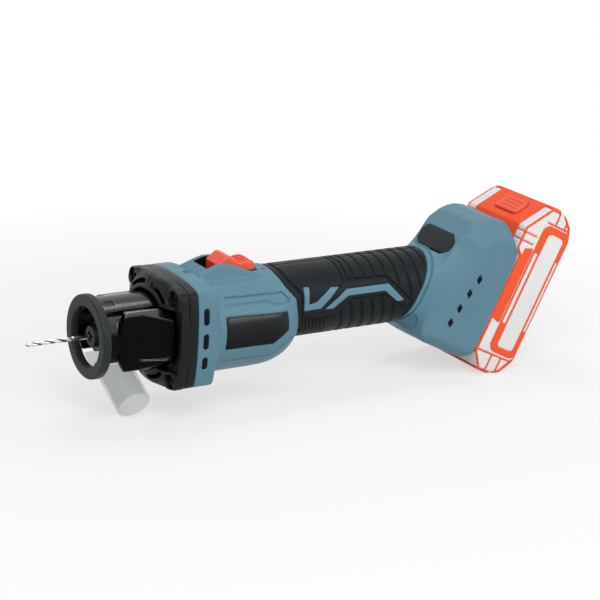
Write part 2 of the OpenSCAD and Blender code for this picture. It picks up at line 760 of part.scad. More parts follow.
// The front cover: a vented dome on a flange, cut at both sides for the cheeks
dome_shares = [[0, 0], [0.42, 0.26], [0.74, 0.52], [1, 1]];
function dome_profile(shrink) = [
    for (p = dome_shares)
        [dome_d / 2 + p[0] * dome_flare - shrink, dome_x + p[1] * (dome_len + cover_t / 4)]
];
module dome(shrink, end) about_x()
    polygon(concat([[0, dome_x]], dome_profile(shrink), [[dome_profile(shrink)[3][0], end], [0, end]]));
module front_cover() color("#202224") placed() difference() {
    vent_d = dome_d + dome_wall + vent_in;
    union() {
        along_x(cover_face, plate_x) flange_outline();
        intersection() {
            dome(0, plate_x);
            along_x(dome_x, plate_x) flange_outline();
        }
    }
    intersection() {
        dome(dome_wall, plate_x + cut);
        rod_x(motor_cavity_d + wall + cut, dome_x + dome_wall, plate_x + cut);
    }
    rod_x(cover_hole_d, dome_x - cut, plate_x + cut);
    block([dome_x - cut, -flange_w, -cheek_h / 2 - slide_gap / 2],
          [cheek_end, flange_w, cheek_h / 2 + slide_gap / 2]);
    for (a = [90 - vent_lean, 90 + vent_lean, 270 - vent_lean, 270 + vent_lean])
        arc_x(vent_d + dome_wall, vent_d - dome_wall, dome_x - cut, cover_face + cut,
              a - vent_spread / 2, vent_spread);
    translate([0, 0, dome_d / 2])
        block([dome_x, -dome_wall / 8, 0.2 * dome_len], [cover_face, dome_wall / 8, dome_len]);
    at_corners() {
        rod_x(corner_pocket_d, dome_x - cut, corner_seat);
        rod_x(corner_screw_d + slide_gap, corner_seat - cut, plate_x + cut);
    }
}
module cover_screws() color("#2a2c2e") placed() at_corners() difference() {
    union() {
        rod_x(corner_head_d, corner_seat - corner_head_t, corner_seat);
        rod_x(corner_screw_d, corner_seat - cut, corner_screw_end);
    }
    translate([corner_seat - corner_head_t - cut, 0, 0]) rotate([0, 90, 0])
        cylinder(d = corner_screw_d, h = cut + corner_head_t / 2, $fn = 6);
}

// The guide holder: a sleeve with a flared, pocketed cheek on each side
module guide_holder() color("#121315") placed() difference() {
    union() {
        rod_x(sleeve_d, sleeve_x, plate_x - seat_gap);
        both_sides() cheek();
    }
    rod_x(sleeve_bore, sleeve_x - cut, plate_x + cut);
    in_chute() translate([0, 0, -sleeve_d]) cylinder(d = chute_bore, h = 2 * sleeve_d);
}
module cheek() difference() {
    pocket_depth = sleeve_wall / 2;
    cheek_body(0);
    difference() {
        across_y(2 * flange_w) translate([(cheek_x + cheek_end) / 2 + cheek_len / 7, 0])
            rounded_rect(0.58 * cheek_len, 0.6 * cheek_h, 2 * sleeve_wall);
        cheek_body(pocket_depth);
    }
}
module cheek_body(shrink) intersection() {
    plan = [[cheek_x, 0.37 * cheek_w], [cheek_end, 0.37 * cheek_w], [cheek_end, cheek_rear_w / 2 - shrink],
            [cheek_x + 0.42 * cheek_len, cheek_w / 2 - shrink],
            [cheek_x + 0.07 * cheek_len, cheek_w / 2 - shrink], [cheek_x, 0.46 * cheek_w - shrink]];
    side = [[cheek_x, -0.24 * cheek_h], [cheek_x + 0.12 * cheek_len, -cheek_h / 2], [cheek_end, -cheek_h / 2],
            [cheek_end, cheek_h / 2], [cheek_x + 0.12 * cheek_len, cheek_h / 2], [cheek_x, 0.24 * cheek_h]];
    section = [[0, -cheek_h / 2], [0.43 * cheek_w, -cheek_h / 2], [cheek_rear_w / 2, -0.32 * cheek_h],
               [cheek_rear_w / 2, 0.32 * cheek_h], [0.43 * cheek_w, cheek_h / 2], [0, cheek_h / 2]];
    translate([0, 0, -cheek_h]) linear_extrude(2 * cheek_h) polygon(plan);
    across_y(2 * flange_w) polygon(side);
    along_x(cheek_x, cheek_end) polygon(section);
}

// The depth guide: a round foot with small tabs in its hole, on a half-tube arm
module guide_foot() color("#40484c") placed() {
    edge = ring_t / 6;
    about_x() polygon([[ring_hole_d / 2, edge], [ring_hole_d / 2 + edge, 0], [ring_d / 2 - edge, 0],
                       [ring_d / 2, edge], [ring_d / 2, ring_t], [ring_hole_d / 2, ring_t]]);
    for (a = [45:90:315])
        arc_x(ring_hole_d + cut, ring_hole_d - 2 * edge, 2 * edge, ring_t, a - 4, 8);
}
module guide_arm() color("#141517") placed() difference() {
    arc_x(arm_d, arm_d - 2 * arm_t, ring_t, arm_end, 90 - arm_spread / 2, arm_spread);
    for (a = [90 - arm_spread / 4, 90 + arm_spread / 4])
        arc_x(arm_d + cut, arm_d - arm_t / 2, 1.6 * ring_t, 2.6 * ring_t, a - 6, 12);
}

// The dust chute: a saddle under the sleeve and a leaning tube with a hose socket
module dust_chute() color([0.75, 0.8, 0.82, 0.5]) placed() difference() {
    union() {
        arc_x(sleeve_d + 2 * (seat_gap + saddle_t), sleeve_d - cut, saddle_x, saddle_x + saddle_len,
              270 - saddle_spread / 2, saddle_spread);
        in_chute() translate([0, 0, -chute_top]) cylinder(d = chute_d, h = chute_top + chute_len);
    }
    rod_x(sleeve_d + 2 * seat_gap, -cut, plate_x);
    in_chute() {
        translate([0, 0, -sleeve_d]) cylinder(d = chute_bore, h = sleeve_d + chute_len + cut);
        translate([0, 0, chute_len - socket_len]) cylinder(d = socket_d, h = socket_len + cut);
    }
}

// Housing forms: barrel with a rounded tail, grip tube and foot
function tail_point(t, grow) =
    [tail_len / 6.3 + (barrel_d / 2 - tail_len / 6.3) * cos(t) + grow, tail_x + tail_len * sin(t)];
module barrel(grow, x0) about_x() polygon(concat(
    [[0, x0], [barrel_d / 2 + grow, x0]],
    [for (t = [0:7.5:90]) tail_point(t, grow)], [[0, tail_x + tail_len]]));
module grip_tube(shrink, x0, x1) translate([0, 0, grip_z]) along_x(x0, x1)
    rounded_rect(grip_w - 2 * shrink, grip_h - 2 * shrink, grip_r - shrink);
module collar(grow) intersection() {
    grip_tube(-collar_proud - grow, collar_x, grip_start + collar_len);
    across_y(2 * grip_w) translate([collar_x, grip_z])
        polygon(inset(scaled(collar_shares, collar_len, grip_h / 2), -grow));
}
module beyond(n) in_foot() block([n, -span, -span], [span, span, span]);
module foot_form(shrink) in_foot() intersection() {
    across_y(foot_w - 2 * shrink) polygon(rounded(inset_corners(foot_side, shrink)));
    translate([0, 0, -foot_h]) linear_extrude(2 * foot_h)
        polygon(rounded(inset_corners(foot_plan, shrink)));
    along_x(-2 * foot_depth, cut)
        rounded_rect(foot_w - 2 * shrink, foot_h - 2 * shrink, foot_corner_r - shrink);
}
module guard() intersection() {
    across_y(barrel_d) translate([flange_end + guard_front, 0])
        polygon(scaled(guard_shares, guard_len, guard_top));
    along_x(flange_end, grip_start + wall + guard_len)
        both_profiles() polygon(scaled(guard_section_shares, barrel_d / 2, guard_top));
}
module both_profiles() for (side = [0, 1]) mirror([side, 0]) children();

module housing_outside() {
    along_x(flange_x, flange_end) flange_outline();
    intersection() {
        cone_x(flange_h, barrel_d - wall, flange_end - cut, flange_end + 2.5 * wall);
        along_x(flange_x, flange_end + barrel_len) flange_outline();
    }
    barrel(0, flange_x);
    collar(0);
    grip_tube(skin_t, grip_start, core_end);
    intersection() {
        grip_tube(0, grip_start, core_end);
        beyond(-skin_end);
    }
    foot_form(0);
    guard();
}
module housing_inside() {
    barrel(-wall, flange_x - cut);
    grip_tube(skin_t + core_wall, grip_start, core_end);
    difference() {
        foot_form(wall);
        beyond(-channel_floor - wall);
    }
}

// Ribs inside the housing that carry the stator, the bearing cap, the switch and the controller
module housing_ribs() {
    difference() {
        for (x = [stator_x + support_t, stator_x + stator_len - 2 * support_t, cap_x])
            ring_x(motor_cavity_d + 2 * seat_gap, stator_d + 2 * seat_gap, x, x + support_t);
        block([stator_x, -link_path_w / 2, 0], [cap_end, link_path_w / 2, barrel_d]);
    }
    difference() {
        rib_places = [controller_x + controller_len / 8, controller_x + controller_len * 7 / 8,
                      switch_x + switch_len / 3];
        for (x = rib_places) grip_tube(skin_t + core_wall - seat_gap, x, x + frame_rib_t);
        block([controller_x, -controller_w / 2 - seat_gap, grip_z - controller_h / 2 - seat_gap],
              [controller_x + controller_len, controller_w / 2 + seat_gap,
               grip_z + controller_h / 2 + seat_gap]);
        block([switch_x, -switch_w / 2 - seat_gap, switch_z - seat_gap],
              [switch_x + switch_len, switch_w / 2 + seat_gap, switch_z + switch_h + seat_gap]);
    }
    intersection() {
        at_screws() rod_y(screw_boss_d, -span, span);
        housing_core();
    }
    in_foot() for (y = [-1, 1]) translate([-foot_depth + wall / 2, y * 0.4 * button_board_w, button_u])
        rod_x(board_post_d, 0, foot_depth + button_board_n - wall / 2);
}
module housing_core() {
    barrel(-wall / 2, flange_x);
    grip_tube(skin_t + core_wall / 2, grip_start, core_end);
    foot_form(wall / 2);
}
module at_screws() {
    for (p = grip_screw_shares)
        translate([tail_x + p[0] * (foot_x - tail_x), 0, grip_z + p[1] * grip_h / 2]) children();
    in_foot() for (p = foot_screw_shares) translate([p[0] * foot_depth, 0, p[1] * foot_h / 2]) children();
}

// Openings in the housing
module housing_cuts() {
    slider_pocket();
    flange_vents();
    diamond_vents();
    plate_seat(-seat_gap);
    rail_channel();
    button_seat();
    at_corners() rod_x(corner_screw_d + 2 * seat_gap, flange_x - cut, corner_screw_end + seat_gap);
    screw_holes();
}
module slider_pocket() {
    block([slider_x - slider_travel - slide_gap, -pocket_w / 2, pocket_z],
          [slider_end + slide_gap, pocket_w / 2, barrel_d]);
    block([stem_x - slider_travel - slide_gap, -stem_w / 2 - slide_gap, 0],
          [stem_x + stem_len + slide_gap, stem_w / 2 + slide_gap, barrel_d]);
}
module flange_vents() {
    vent_w = flange_t / 3;
    vent_shares = [[0.27, 0.56], [-0.15, 0.12], [-0.51, -0.29]];
    for (v = vent_shares) difference() {
        across_y(flange_w + 2 * cut) translate([(flange_x + flange_end) / 2, (v[0] + v[1]) * flange_h / 4])
            bevelled_rect(vent_w, (v[1] - v[0]) * flange_h / 2, vent_w / 4);
        rod_x(motor_cavity_d - wall, flange_x - cut, flange_end + cut);
    }
}
module diamond_vents() in_foot() for (p = diamond_shares)
    translate([p[0] * foot_depth, 0, p[1] * foot_h / 2]) difference() {
        across_y(foot_w + 2 * cut) rotate(20) polygon([[0, -diamond_w / 1.5], [diamond_w / 2, 0],
                                                       [0, diamond_w / 1.5], [-diamond_w / 2, 0]]);
        across_y(foot_w - 4 * wall) square(2 * diamond_w, center = true);
    }
module rail_channel() in_foot() {
    half_wide = rail_w / 2 + slide_gap;
    half_neck = neck_w / 2 + slide_gap;
    block([-channel_floor, -half_wide, -rail_low - slide_gap], [-lip_t, half_wide, foot_h]);
    block([-channel_floor, -half_neck, -rail_low - slide_gap], [2 * cut, half_neck, foot_h]);
}
module button_seat() in_foot() translate([-foot_depth, 0, button_u]) {
    along_x(-button_room, button_pocket)
        bevelled_rect(button_w + 2 * slide_gap, button_h + 2 * slide_gap, button_corner);
    rod_x(plunger_d + 2 * slide_gap, 0, 2 * wall);
}
module screw_holes() at_screws() {
    rod_y(screw_d + 2 * seat_gap, screw_end_y - seat_gap, screw_seat_y + cut);
    rod_y(screw_head_d + slide_gap, screw_seat_y, span);
}

module housing() difference() {
    union() {
        difference() {
            housing_outside();
            housing_inside();
        }
        housing_ribs();
    }
    housing_cuts();
}
module left_housing() color("#6b8fa0") placed() only_side(-1) housing();
module right_housing() color("#6b8fa0") placed() only_side(1) housing();

// The soft skin of the grip, ribbed above and below its side panels
module grip_skin() difference() {
    grip_tube(0, grip_start, core_end);
    grip_tube(skin_t - seat_gap, grip_start - cut, core_end + cut);
    barrel(seat_gap, flange_x);
    collar(seat_gap);
    guard();
    beyond(-skin_end - seat_gap);
    for (i = [0:rib_n - 1]) skin_groove(rib_x + i * rib_pitch, rib_w, side_panel_h);
    for (i = [0, 1]) skin_groove(double_groove_x + i * rib_w, rib_w / 2, side_panel_h);
    stripe_prism();
    at_screws() rod_y(screw_head_d + slide_gap, screw_seat_y, span);
}
module skin_groove(x, w, panel_h) difference() {
    grip_tube(-cut, x, x + w);
    grip_tube(rib_depth, x - cut, x + w + cut);
    block([x - cut, -grip_w, grip_z - panel_h / 2], [x + w + cut, grip_w, grip_z + panel_h / 2]);
}
module stripe_prism() across_y(2 * grip_w) translate([stripe_x, stripe_z]) {
    polygon(scaled(hook_stripe_shares, stripe_len, stripe_h));
    polygon(scaled(wave_stripe_shares, stripe_len, stripe_h));
}
module left_grip() color("#1b1c1e") placed() only_side(-1) grip_skin();
module right_grip() color("#1b1c1e") placed() only_side(1) grip_skin();

// Hard stripes that show through the skin
module grip_stripes() intersection() {
    difference() {
        grip_tube(-stripe_proud, grip_start, core_end);
        grip_tube(skin_t - seat_gap, grip_start - cut, core_end + cut);
    }
    stripe_prism();
}
module left_stripes() color("#6b8fa0") placed() only_side(-1) grip_stripes();
module right_stripes() color("#6b8fa0") placed() only_side(1) grip_stripes();

// The bare side plate on the left of the barrel
module plate_prism() only_side(-1) across_y(2 * barrel_d) translate([side_plate_x, side_plate_z])
    polygon(scaled(plate_shares, side_plate_len, side_plate_h));
module plate_seat(grow) intersection() {
    difference() {
        barrel(2 * cut, flange_x);
        barrel(-side_plate_t + grow, flange_x - cut);
    }
    plate_prism();
}
module side_plate() color("#2a2d30") placed() intersection() {
    difference() {
        barrel(side_plate_proud, flange_x);
        barrel(-side_plate_t, flange_x - cut);
    }
    plate_prism();
}

// The slider, its link and the switch that it works
module switch_slider() color("#ff5f37") placed() {
    difference() {
        across_y(slider_w) translate([slider_x, slider_z])
            polygon(scaled(slider_shares, slider_len, slider_h));
        for (i = [0:3]) translate([slider_x + (0.72 + 0.07 * i) * slider_len, 0, slider_z + 0.6 * slider_h])
            across_y(slider_w - 2 * slide_gap) rotate(40)
                square([slider_h / 5, slide_gap * 1.5], center = true);
    }
    block([stem_x, -stem_w / 2, link_top], [stem_x + stem_len, stem_w / 2, slider_z + cut]);
}
module switch_link() color("#2b2e31") placed() {
    block([stem_x, -link_w / 2, link_z], [link_drop_x + link_drop_t, link_w / 2, link_top]);
    block([link_drop_x, -link_w / 2, link_low_z],
          [link_drop_x + link_drop_t, link_w / 2, link_z + link_t / 2]);
    block([link_drop_x, -link_w / 2, link_low_z],
          [switch_x - slide_gap, link_w / 2, link_low_z + link_low_t]);
}
module switch_body() color("#26292c") placed() difference() {
    block([switch_x, -switch_w / 2, switch_z], [switch_x + switch_len, switch_w / 2, switch_z + switch_h]);
    translate([switch_x + 0.8 * switch_len, 0, switch_z + switch_h / 4])
        rod_y(screw_d, -switch_w, switch_w);
}

// The controller: a potted tray with cooling fins
module controller() color("#6f757a") placed() difference() {
    block([controller_x, -controller_w / 2, grip_z - controller_h / 2],
          [controller_x + controller_len, controller_w / 2, grip_z + controller_h / 2]);
    fin_pitch = 0.6 * controller_len / fin_n;
    for (i = [0:fin_n - 1]) translate([controller_x + 0.22 * controller_len + i * fin_pitch, 0, 0])
        block([0, -controller_w, grip_z + controller_h / 2 - fin_depth], [fin_pitch / 2, controller_w, span]);
}

// The button on the foot and the board behind it
module mode_button() color("#24272a") placed() in_foot()
    translate([-foot_depth - button_proud, 0, button_u]) {
        along_x(0, button_t) bevelled_rect(button_w, button_h, button_corner);
        rod_x(plunger_d, button_t - cut, button_t + plunger_len);
    }
module button_board() color("#1f5a3a") placed() in_foot() {
    block([button_board_n, -button_board_w / 2, button_u - button_board_h / 2],
          [button_board_n + board_t, button_board_w / 2, button_u + button_board_h / 2]);
    translate([0, 0, button_u]) rod_x(plunger_d, button_board_n - tact_t, button_board_n + board_t);
}

// Terminals at the foot of the rail channel
module terminal_block() color("#26292c") placed() in_foot()
    block([-channel_floor + seat_gap, -block_w / 2, -rail_low - slide_gap + seat_gap],
          [-block_low, block_w / 2, block_end]);
module terminal_blades() color("#c9a24b") placed() in_foot() for (y = blade_ys)
    block([-blade_top, y - blade_t / 2, block_end], [-blade_low, y + blade_t / 2, block_end + blade_len]);

// Screws that close the housing, headed on the right
module housing_screws() color("#2a2c2e") placed() at_screws() difference() {
    union() {
        rod_y(screw_d, screw_end_y, screw_seat_y + cut);
        rod_y(screw_head_d, screw_seat_y, screw_seat_y + screw_head_t);
    }
    translate([0, screw_seat_y + screw_head_t / 2, 0]) rotate([-90, 0, 0])
        cylinder(d = screw_drive_d, h = screw_head_t, $fn = 6);
}

// The battery pack
module pack_form() intersection() {
    across_y(pack_w) polygon(pack_outline);
    translate([0, 0, -2 * pack_low]) linear_extrude(2 * (pack_low + pack_high)) polygon(rounded([
        [-pack_t, -pack_w / 2, 0], [pack_t, -pack_w / 2, pack_edge_r], [pack_t, pack_w / 2, pack_edge_r],
        [-pack_t, pack_w / 2, 0]]));
    along_x(-pack_t, 2 * pack_t) translate([0, (pack_high - pack_low) / 2])
        rounded_rect(pack_w, pack_high + pack_low, pack_corner_r);
}
module pack_room(gap) intersection() {
    across_y(pack_w - 2 * (pack_wall + gap)) polygon(inset(pack_outline, pack_wall + gap));
    block([mate_gap + pack_wall + gap, -pack_w, -pack_cavity_low + gap],
          [pack_t - pack_wall - gap, pack_w, pack_cavity_high - gap]);
}
module rails() {
    block([-lip_t - slide_gap - cut, -neck_w / 2, -rail_low], [mate_gap + cut, neck_w / 2, step_u(0)]);
    block([-rail_depth, -rail_w / 2, -rail_low], [-lip_t - slide_gap, rail_w / 2, foot_edge]);
}
module in_latch() {
    a = [-pack_shoulder, pack_high_shares[4][1] * pack_high];
    b = [pack_high_shares[3][0] * pack_t, pack_high_shares[3][1] * pack_high];
    slope = atan2(b[1] - a[1], b[0] - a[0]);
    translate([(a[0] + b[0]) / 2, 0, (a[1] + b[1]) / 2]) rotate([0, -slope, 0]) children();
}
module latch_pocket() in_latch() translate([0, 0, -latch_t - latch_travel])
    linear_extrude(latch_t + 2 * latch_travel)
        rounded_rect(latch_len + 2 * slide_gap, latch_w + 2 * slide_gap, latch_r + slide_gap);
module at_pack_screws() for (u = pack_screw_us, y = [-1, 1])
    translate([pack_screw_seat, y * pack_screw_y, u]) children();
module pack_screw_cuts() at_pack_screws() {
    rod_x(screw_d + 2 * seat_gap, -pack_screw_len - seat_gap, cut);
    rod_x(screw_head_d + slide_gap, 0, pack_t);
}
module pack_top_case() color("#e9e7e2") placed() in_foot() difference() {
    union() {
        intersection() {
            pack_form();
            block([-pack_t, -pack_w, -2 * pack_low], [pack_split, pack_w, 2 * pack_high]);
        }
        rails();
    }
    pack_room(0);
    block([-pack_t, -block_w / 2 - 2 * slide_gap, -2 * pack_low],
          [-block_low + slide_gap, block_w / 2 + 2 * slide_gap, block_end + slide_gap]);
    for (y = blade_ys)
        block([-pack_t, y - slot_w / 2, block_end],
              [-blade_low + slide_gap, y + slot_w / 2, block_end + slot_len]);
    latch_pocket();
    pack_screw_cuts();
}
module pack_base_case() color("#e9e7e2") placed() in_foot() difference() {
    intersection() {
        pack_form();
        block([pack_split, -pack_w, -2 * pack_low], [2 * pack_t, pack_w, 2 * pack_high]);
    }
    pack_room(0);
    both_sides() trim_frame(seat_gap, trim_t + seat_gap + cut);
    latch_pocket();
    pack_screw_cuts();
}

// Orange frames let into both sides of the pack
module trim_frame(sink, t) translate([0, pack_w / 2 - trim_t - sink + t / 2, 0]) across_y(t) difference() {
    low = trim_low_share * pack_low;
    high = trim_high_share * pack_high;
    inner = trim_in_share * pack_t;
    outer = trim_out_share * pack_t;
    translate([(inner + outer) / 2, (low + high) / 2]) rounded_rect(outer - inner, high - low, trim_w);
    translate([(inner + outer) / 2, (low + high) / 2])
        rounded_rect(outer - inner - 2 * trim_w, high - low - 2 * trim_w, trim_w / 2);
}
module pack_trim() color("#ff5f37") placed() in_foot() both_sides() trim_frame(0, trim_t + trim_proud);

module at_cells() for (i = [0:cell_n - 1])
    translate([cell_n_pos, 0, cell_u + (i - (cell_n - 1) / 2) * cell_pitch]) children();
module pack_cells() color("#3f6fb0") placed() in_foot() at_cells() {
    rod_y(cell_d, -cell_len / 2, cell_len / 2);
    rod_y(cell_d / 3, cell_len / 2 - cut, cell_len / 2 + cut);
}
module cell_holders() color("#26292c") placed() in_foot() both_sides() difference() {
    intersection() {
        pack_room(seat_gap);
        block([pack_split + pack_wall, holder_y, -2 * pack_low],
              [2 * pack_t, holder_y + holder_t, 2 * pack_high]);
    }
    at_cells() rod_y(cell_d + 2 * seat_gap, 0, pack_w);
}
module pack_board() color("#1f5a3a") placed() in_foot()
    block([mate_gap + pack_wall + seat_gap, -pack_board_w / 2, cell_u - pack_board_h / 2],
          [mate_gap + pack_wall + seat_gap + board_t, pack_board_w / 2, cell_u + pack_board_h / 2]);
module pack_contacts() color("#c9a24b") placed() in_foot() for (y = blade_ys) {
    inner = blade_t / 2 + clip_gap;
    slot_end = block_end + slot_len - seat_gap;
    for (side = [-1, 1]) translate([0, y + side * (inner + clip_t / 2), 0])
        block([-blade_top, -clip_t / 2, slot_end - clip_len], [-blade_low, clip_t / 2, slot_end]);
    block([-blade_top, y - inner, slot_end - clip_t], [-blade_low, y + inner, slot_end]);
}
module latch_button() color("#ff5f37") placed() in_foot() in_latch() difference() {
    translate([0, 0, latch_proud - latch_t]) linear_extrude(latch_t)
        rounded_rect(latch_len, latch_w, latch_r);
    for (i = [-1:1]) translate([i * latch_len / 4, 0, latch_proud])
        cube([latch_len / 10, latch_w * 0.7, latch_proud], center = true);
}
module pack_screws() color("#2a2c2e") placed() in_foot() at_pack_screws() {
    rod_x(screw_d, -pack_screw_len, cut);
    rod_x(screw_head_d, 0, screw_head_t);
}

spiral_bit();
collet();
collet_nut();
spindle();
rotor_core();
rotor_magnets();
cooling_fan();
front_bearing();
rear_bearing();
rear_bearing_cap();
stator_core();
stator_coils();
motor_board();
bearing_plate();
front_cover();
cover_screws();
guide_holder();
guide_foot();
guide_arm();
dust_chute();
left_housing();
right_housing();
left_grip();
right_grip();
left_stripes();
right_stripes();
side_plate();
switch_slider();
switch_link();
switch_body();
controller();
mode_button();
button_board();
terminal_block();
terminal_blades();
housing_screws();
pack_top_case();
pack_base_case();
pack_trim();
pack_cells();
cell_holders();
pack_board();
pack_contacts();
latch_button();
pack_screws();
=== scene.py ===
import math
from functools import reduce

import bpy
import numpy as np
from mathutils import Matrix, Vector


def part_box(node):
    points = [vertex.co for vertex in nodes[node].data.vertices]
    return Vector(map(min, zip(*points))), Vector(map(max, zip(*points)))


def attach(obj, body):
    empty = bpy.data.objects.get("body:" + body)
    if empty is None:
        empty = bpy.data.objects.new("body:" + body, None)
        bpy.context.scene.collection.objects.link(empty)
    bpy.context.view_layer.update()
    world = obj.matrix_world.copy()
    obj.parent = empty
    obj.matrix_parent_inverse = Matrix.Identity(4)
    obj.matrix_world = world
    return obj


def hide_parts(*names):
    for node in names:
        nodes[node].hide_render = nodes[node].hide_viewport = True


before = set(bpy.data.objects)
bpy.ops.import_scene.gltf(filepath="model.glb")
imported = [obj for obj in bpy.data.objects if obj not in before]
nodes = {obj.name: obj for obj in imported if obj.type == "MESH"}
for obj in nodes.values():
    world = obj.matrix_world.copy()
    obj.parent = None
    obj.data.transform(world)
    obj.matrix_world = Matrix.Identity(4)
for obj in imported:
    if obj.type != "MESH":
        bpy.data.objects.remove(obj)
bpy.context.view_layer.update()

import openvdb
from mathutils import Matrix, Vector

# Pieces are shaped in millimetres from the guide foot's face, on the spindle's axis
ringLow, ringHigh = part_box("guide_foot")
origin = np.array([ringLow[0], 0, (ringLow[2] + ringHigh[2]) / 2])
mm = 0.001
footFrame = {"x": 327.1, "tilt": math.radians(25.5)}   # mating face of the foot
footCos = math.cos(footFrame["tilt"])
footSin = math.sin(footFrame["tilt"])
halves = ((-1, "left"), (1, "right"))


def place(points):
    return np.asarray(points, float) * mm + origin


def fromFoot(points):
    n, y, u = np.asarray(points, float).T
    return np.stack([footFrame["x"] + n * footCos + u * footSin, y, u * footCos - n * footSin], 1)


# Fields: signed distances on a grid, blended like clay and meshed where they are zero.
# A piece's "grid" is its low corner, high corner, step, share of faces kept, and True in the foot's frame.
bandSteps = 3   # how far from the surface a field is kept, in steps of its grid


class Clay:
    def __init__(self, low, high, step, keep=1, inFoot=False):
        axes = [np.arange(a, b + step, step, dtype=np.float32) for a, b in zip(low, high)]
        self.low = np.array(low, np.float32)
        self.step = step
        self.keep = keep
        self.inFoot = inFoot
        self.shape = tuple(len(a) for a in axes)
        self.x = axes[0][:, None, None]
        self.y = axes[1][None, :, None]
        self.z = axes[2][None, None, :]
        self.side = np.abs(self.y)
        self.rho = np.hypot(self.y, self.z)
        self.n = self.x
        self.u = self.z
        if not inFoot:
            self.n = (self.x - footFrame["x"]) * footCos - self.z * footSin
            self.u = (self.x - footFrame["x"]) * footSin + self.z * footCos
        self.axes = (self.x, self.y, self.z)
        self.footAxes = (self.n, self.y, self.u)
        self.kept = {}


def sideClay(side, low, high, step, keep, inFoot=False):
    # the corners are those of the right half, and the left one mirrors them
    if side < 0:
        low, high = (low[0], -high[1], low[2]), (high[0], -low[1], high[2])
    return Clay(low, high, step, keep, inFoot)


def both(*fields):
    return reduce(np.maximum, fields)


def either(*fields):
    return reduce(np.minimum, fields)


# soft is the width of a blend, and r the radius of an edge
def join(a, b, soft):
    h = np.clip(0.5 + 0.5 * (b - a) / soft, 0, 1)
    return b + (a - b) * h - soft * h * (1 - h)


def meet(a, b, soft):
    return -join(-a, -b, soft)


def carve(a, b, soft):
    return -join(-a, b, soft)


def within(a, low, high):
    return np.abs(a - (low + high) / 2) - (high - low) / 2


def nearLine(a, at, half):
    return np.abs(a - at) - half


def roundCorner(p, q, r):
    return np.hypot(np.maximum(p, 0), np.maximum(q, 0)) + np.minimum(np.maximum(p, q), 0) - r


def rect(a, b, halfA, halfB, r):
    return roundCorner(np.abs(a) - halfA + r, np.abs(b) - halfB + r, r)


def pane(a, b, spanA, spanB, r):
    return roundCorner(within(a, *spanA) + r, within(b, *spanB) + r, r)


def swept(section, along, low, high, r):
    return roundCorner(section + r, within(along, low, high) + r, r)


def block(axes, low, high, r):
    spanA, spanB, spanC = zip(low, high)
    return swept(pane(axes[0], axes[1], spanA, spanB, r), axes[2], *spanC, r)


def bores(a, b, places, radius, depth):
    return either(*[both(np.hypot(a - p, b - q) - radius, depth) for p, q in places])


def fromMiddle(c, pitch):
    # degrees round the spindle, from the middle of each step of the pitch
    return np.abs((np.degrees(np.arctan2(c.z, c.y)) + 360) % pitch - pitch / 2)


def shape(a, b, corners, r=0):
    # signed distance to a drawn outline, its outer corners rounded by r
    pts = np.array(corners, float)
    if r > 0:
        pts = insetCorners(pts, r)
    best, inside, tiny = None, None, 1e-9
    for (ax, ay), (bx, by) in zip(pts, np.roll(pts, -1, 0)):
        ex, ey = bx - ax, by - ay
        wx, wy = a - ax, b - ay
        t = np.clip((wx * ex + wy * ey) / (ex * ex + ey * ey), 0, 1)
        d = (wx - ex * t) ** 2 + (wy - ey * t) ** 2
        best = d if best is None else np.minimum(best, d)
        crossing = ((ay <= b) & (by > b)) | ((by <= b) & (ay > b))
        left = crossing & (wx < ex * wy / (ey if ey else tiny))
        inside = left if inside is None else inside ^ left
    return np.where(inside, -1, 1) * np.sqrt(best) - r


def insetCorners(pts, d):
    after = np.roll(pts, -1, 0)
    turn = np.sign(np.sum(pts[:, 0] * after[:, 1] - after[:, 0] * pts[:, 1]))
    inward = []
    for edge in (pts - np.roll(pts, 1, 0), after - pts):
        edge = edge / np.linalg.norm(edge, axis=1)[:, None]
        inward.append(turn * np.stack([-edge[:, 1], edge[:, 0]], 1))
    p, q = inward
    return pts + d * (p + q) / (1 + np.sum(p * q, 1))[:, None]


def link(name, data):
    thing = bpy.data.objects.new(name, data)
    bpy.context.scene.collection.objects.link(thing)
    return thing


def makeObject(name, points, faces):
    mesh = bpy.data.meshes.new(name)
    faces = np.asarray(faces)
    mesh.vertices.add(len(points))
    mesh.vertices.foreach_set("co", np.ascontiguousarray(points, np.float32).ravel())
    mesh.loops.add(faces.size)
    mesh.loops.foreach_set("vertex_index", faces.ravel().astype(np.int32))
    mesh.polygons.add(len(faces))
    mesh.polygons.foreach_set("loop_start", np.arange(0, faces.size, faces.shape[1], dtype=np.int32))
    mesh.update(calc_edges=True)
    mesh.validate()
    smoothFaces(mesh)
    return link(name, mesh)


def smoothFaces(mesh):
    mesh.polygons.foreach_set("use_smooth", np.full(len(mesh.polygons), True))


def settle(piece):
    # bakes a piece's modifiers into its mesh
    graph = bpy.context.evaluated_depsgraph_get()
    baked = bpy.data.meshes.new_from_object(piece.evaluated_get(graph))
    piece.modifiers.clear()
    old, piece.data = piece.data, baked
    bpy.data.meshes.remove(old)


def dress(piece, body, slot, look, *replaced):
    piece.data.materials.clear()
    piece.data.materials.append(looks[look])
    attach(piece, body)
    if replaced:
        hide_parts(*replaced)


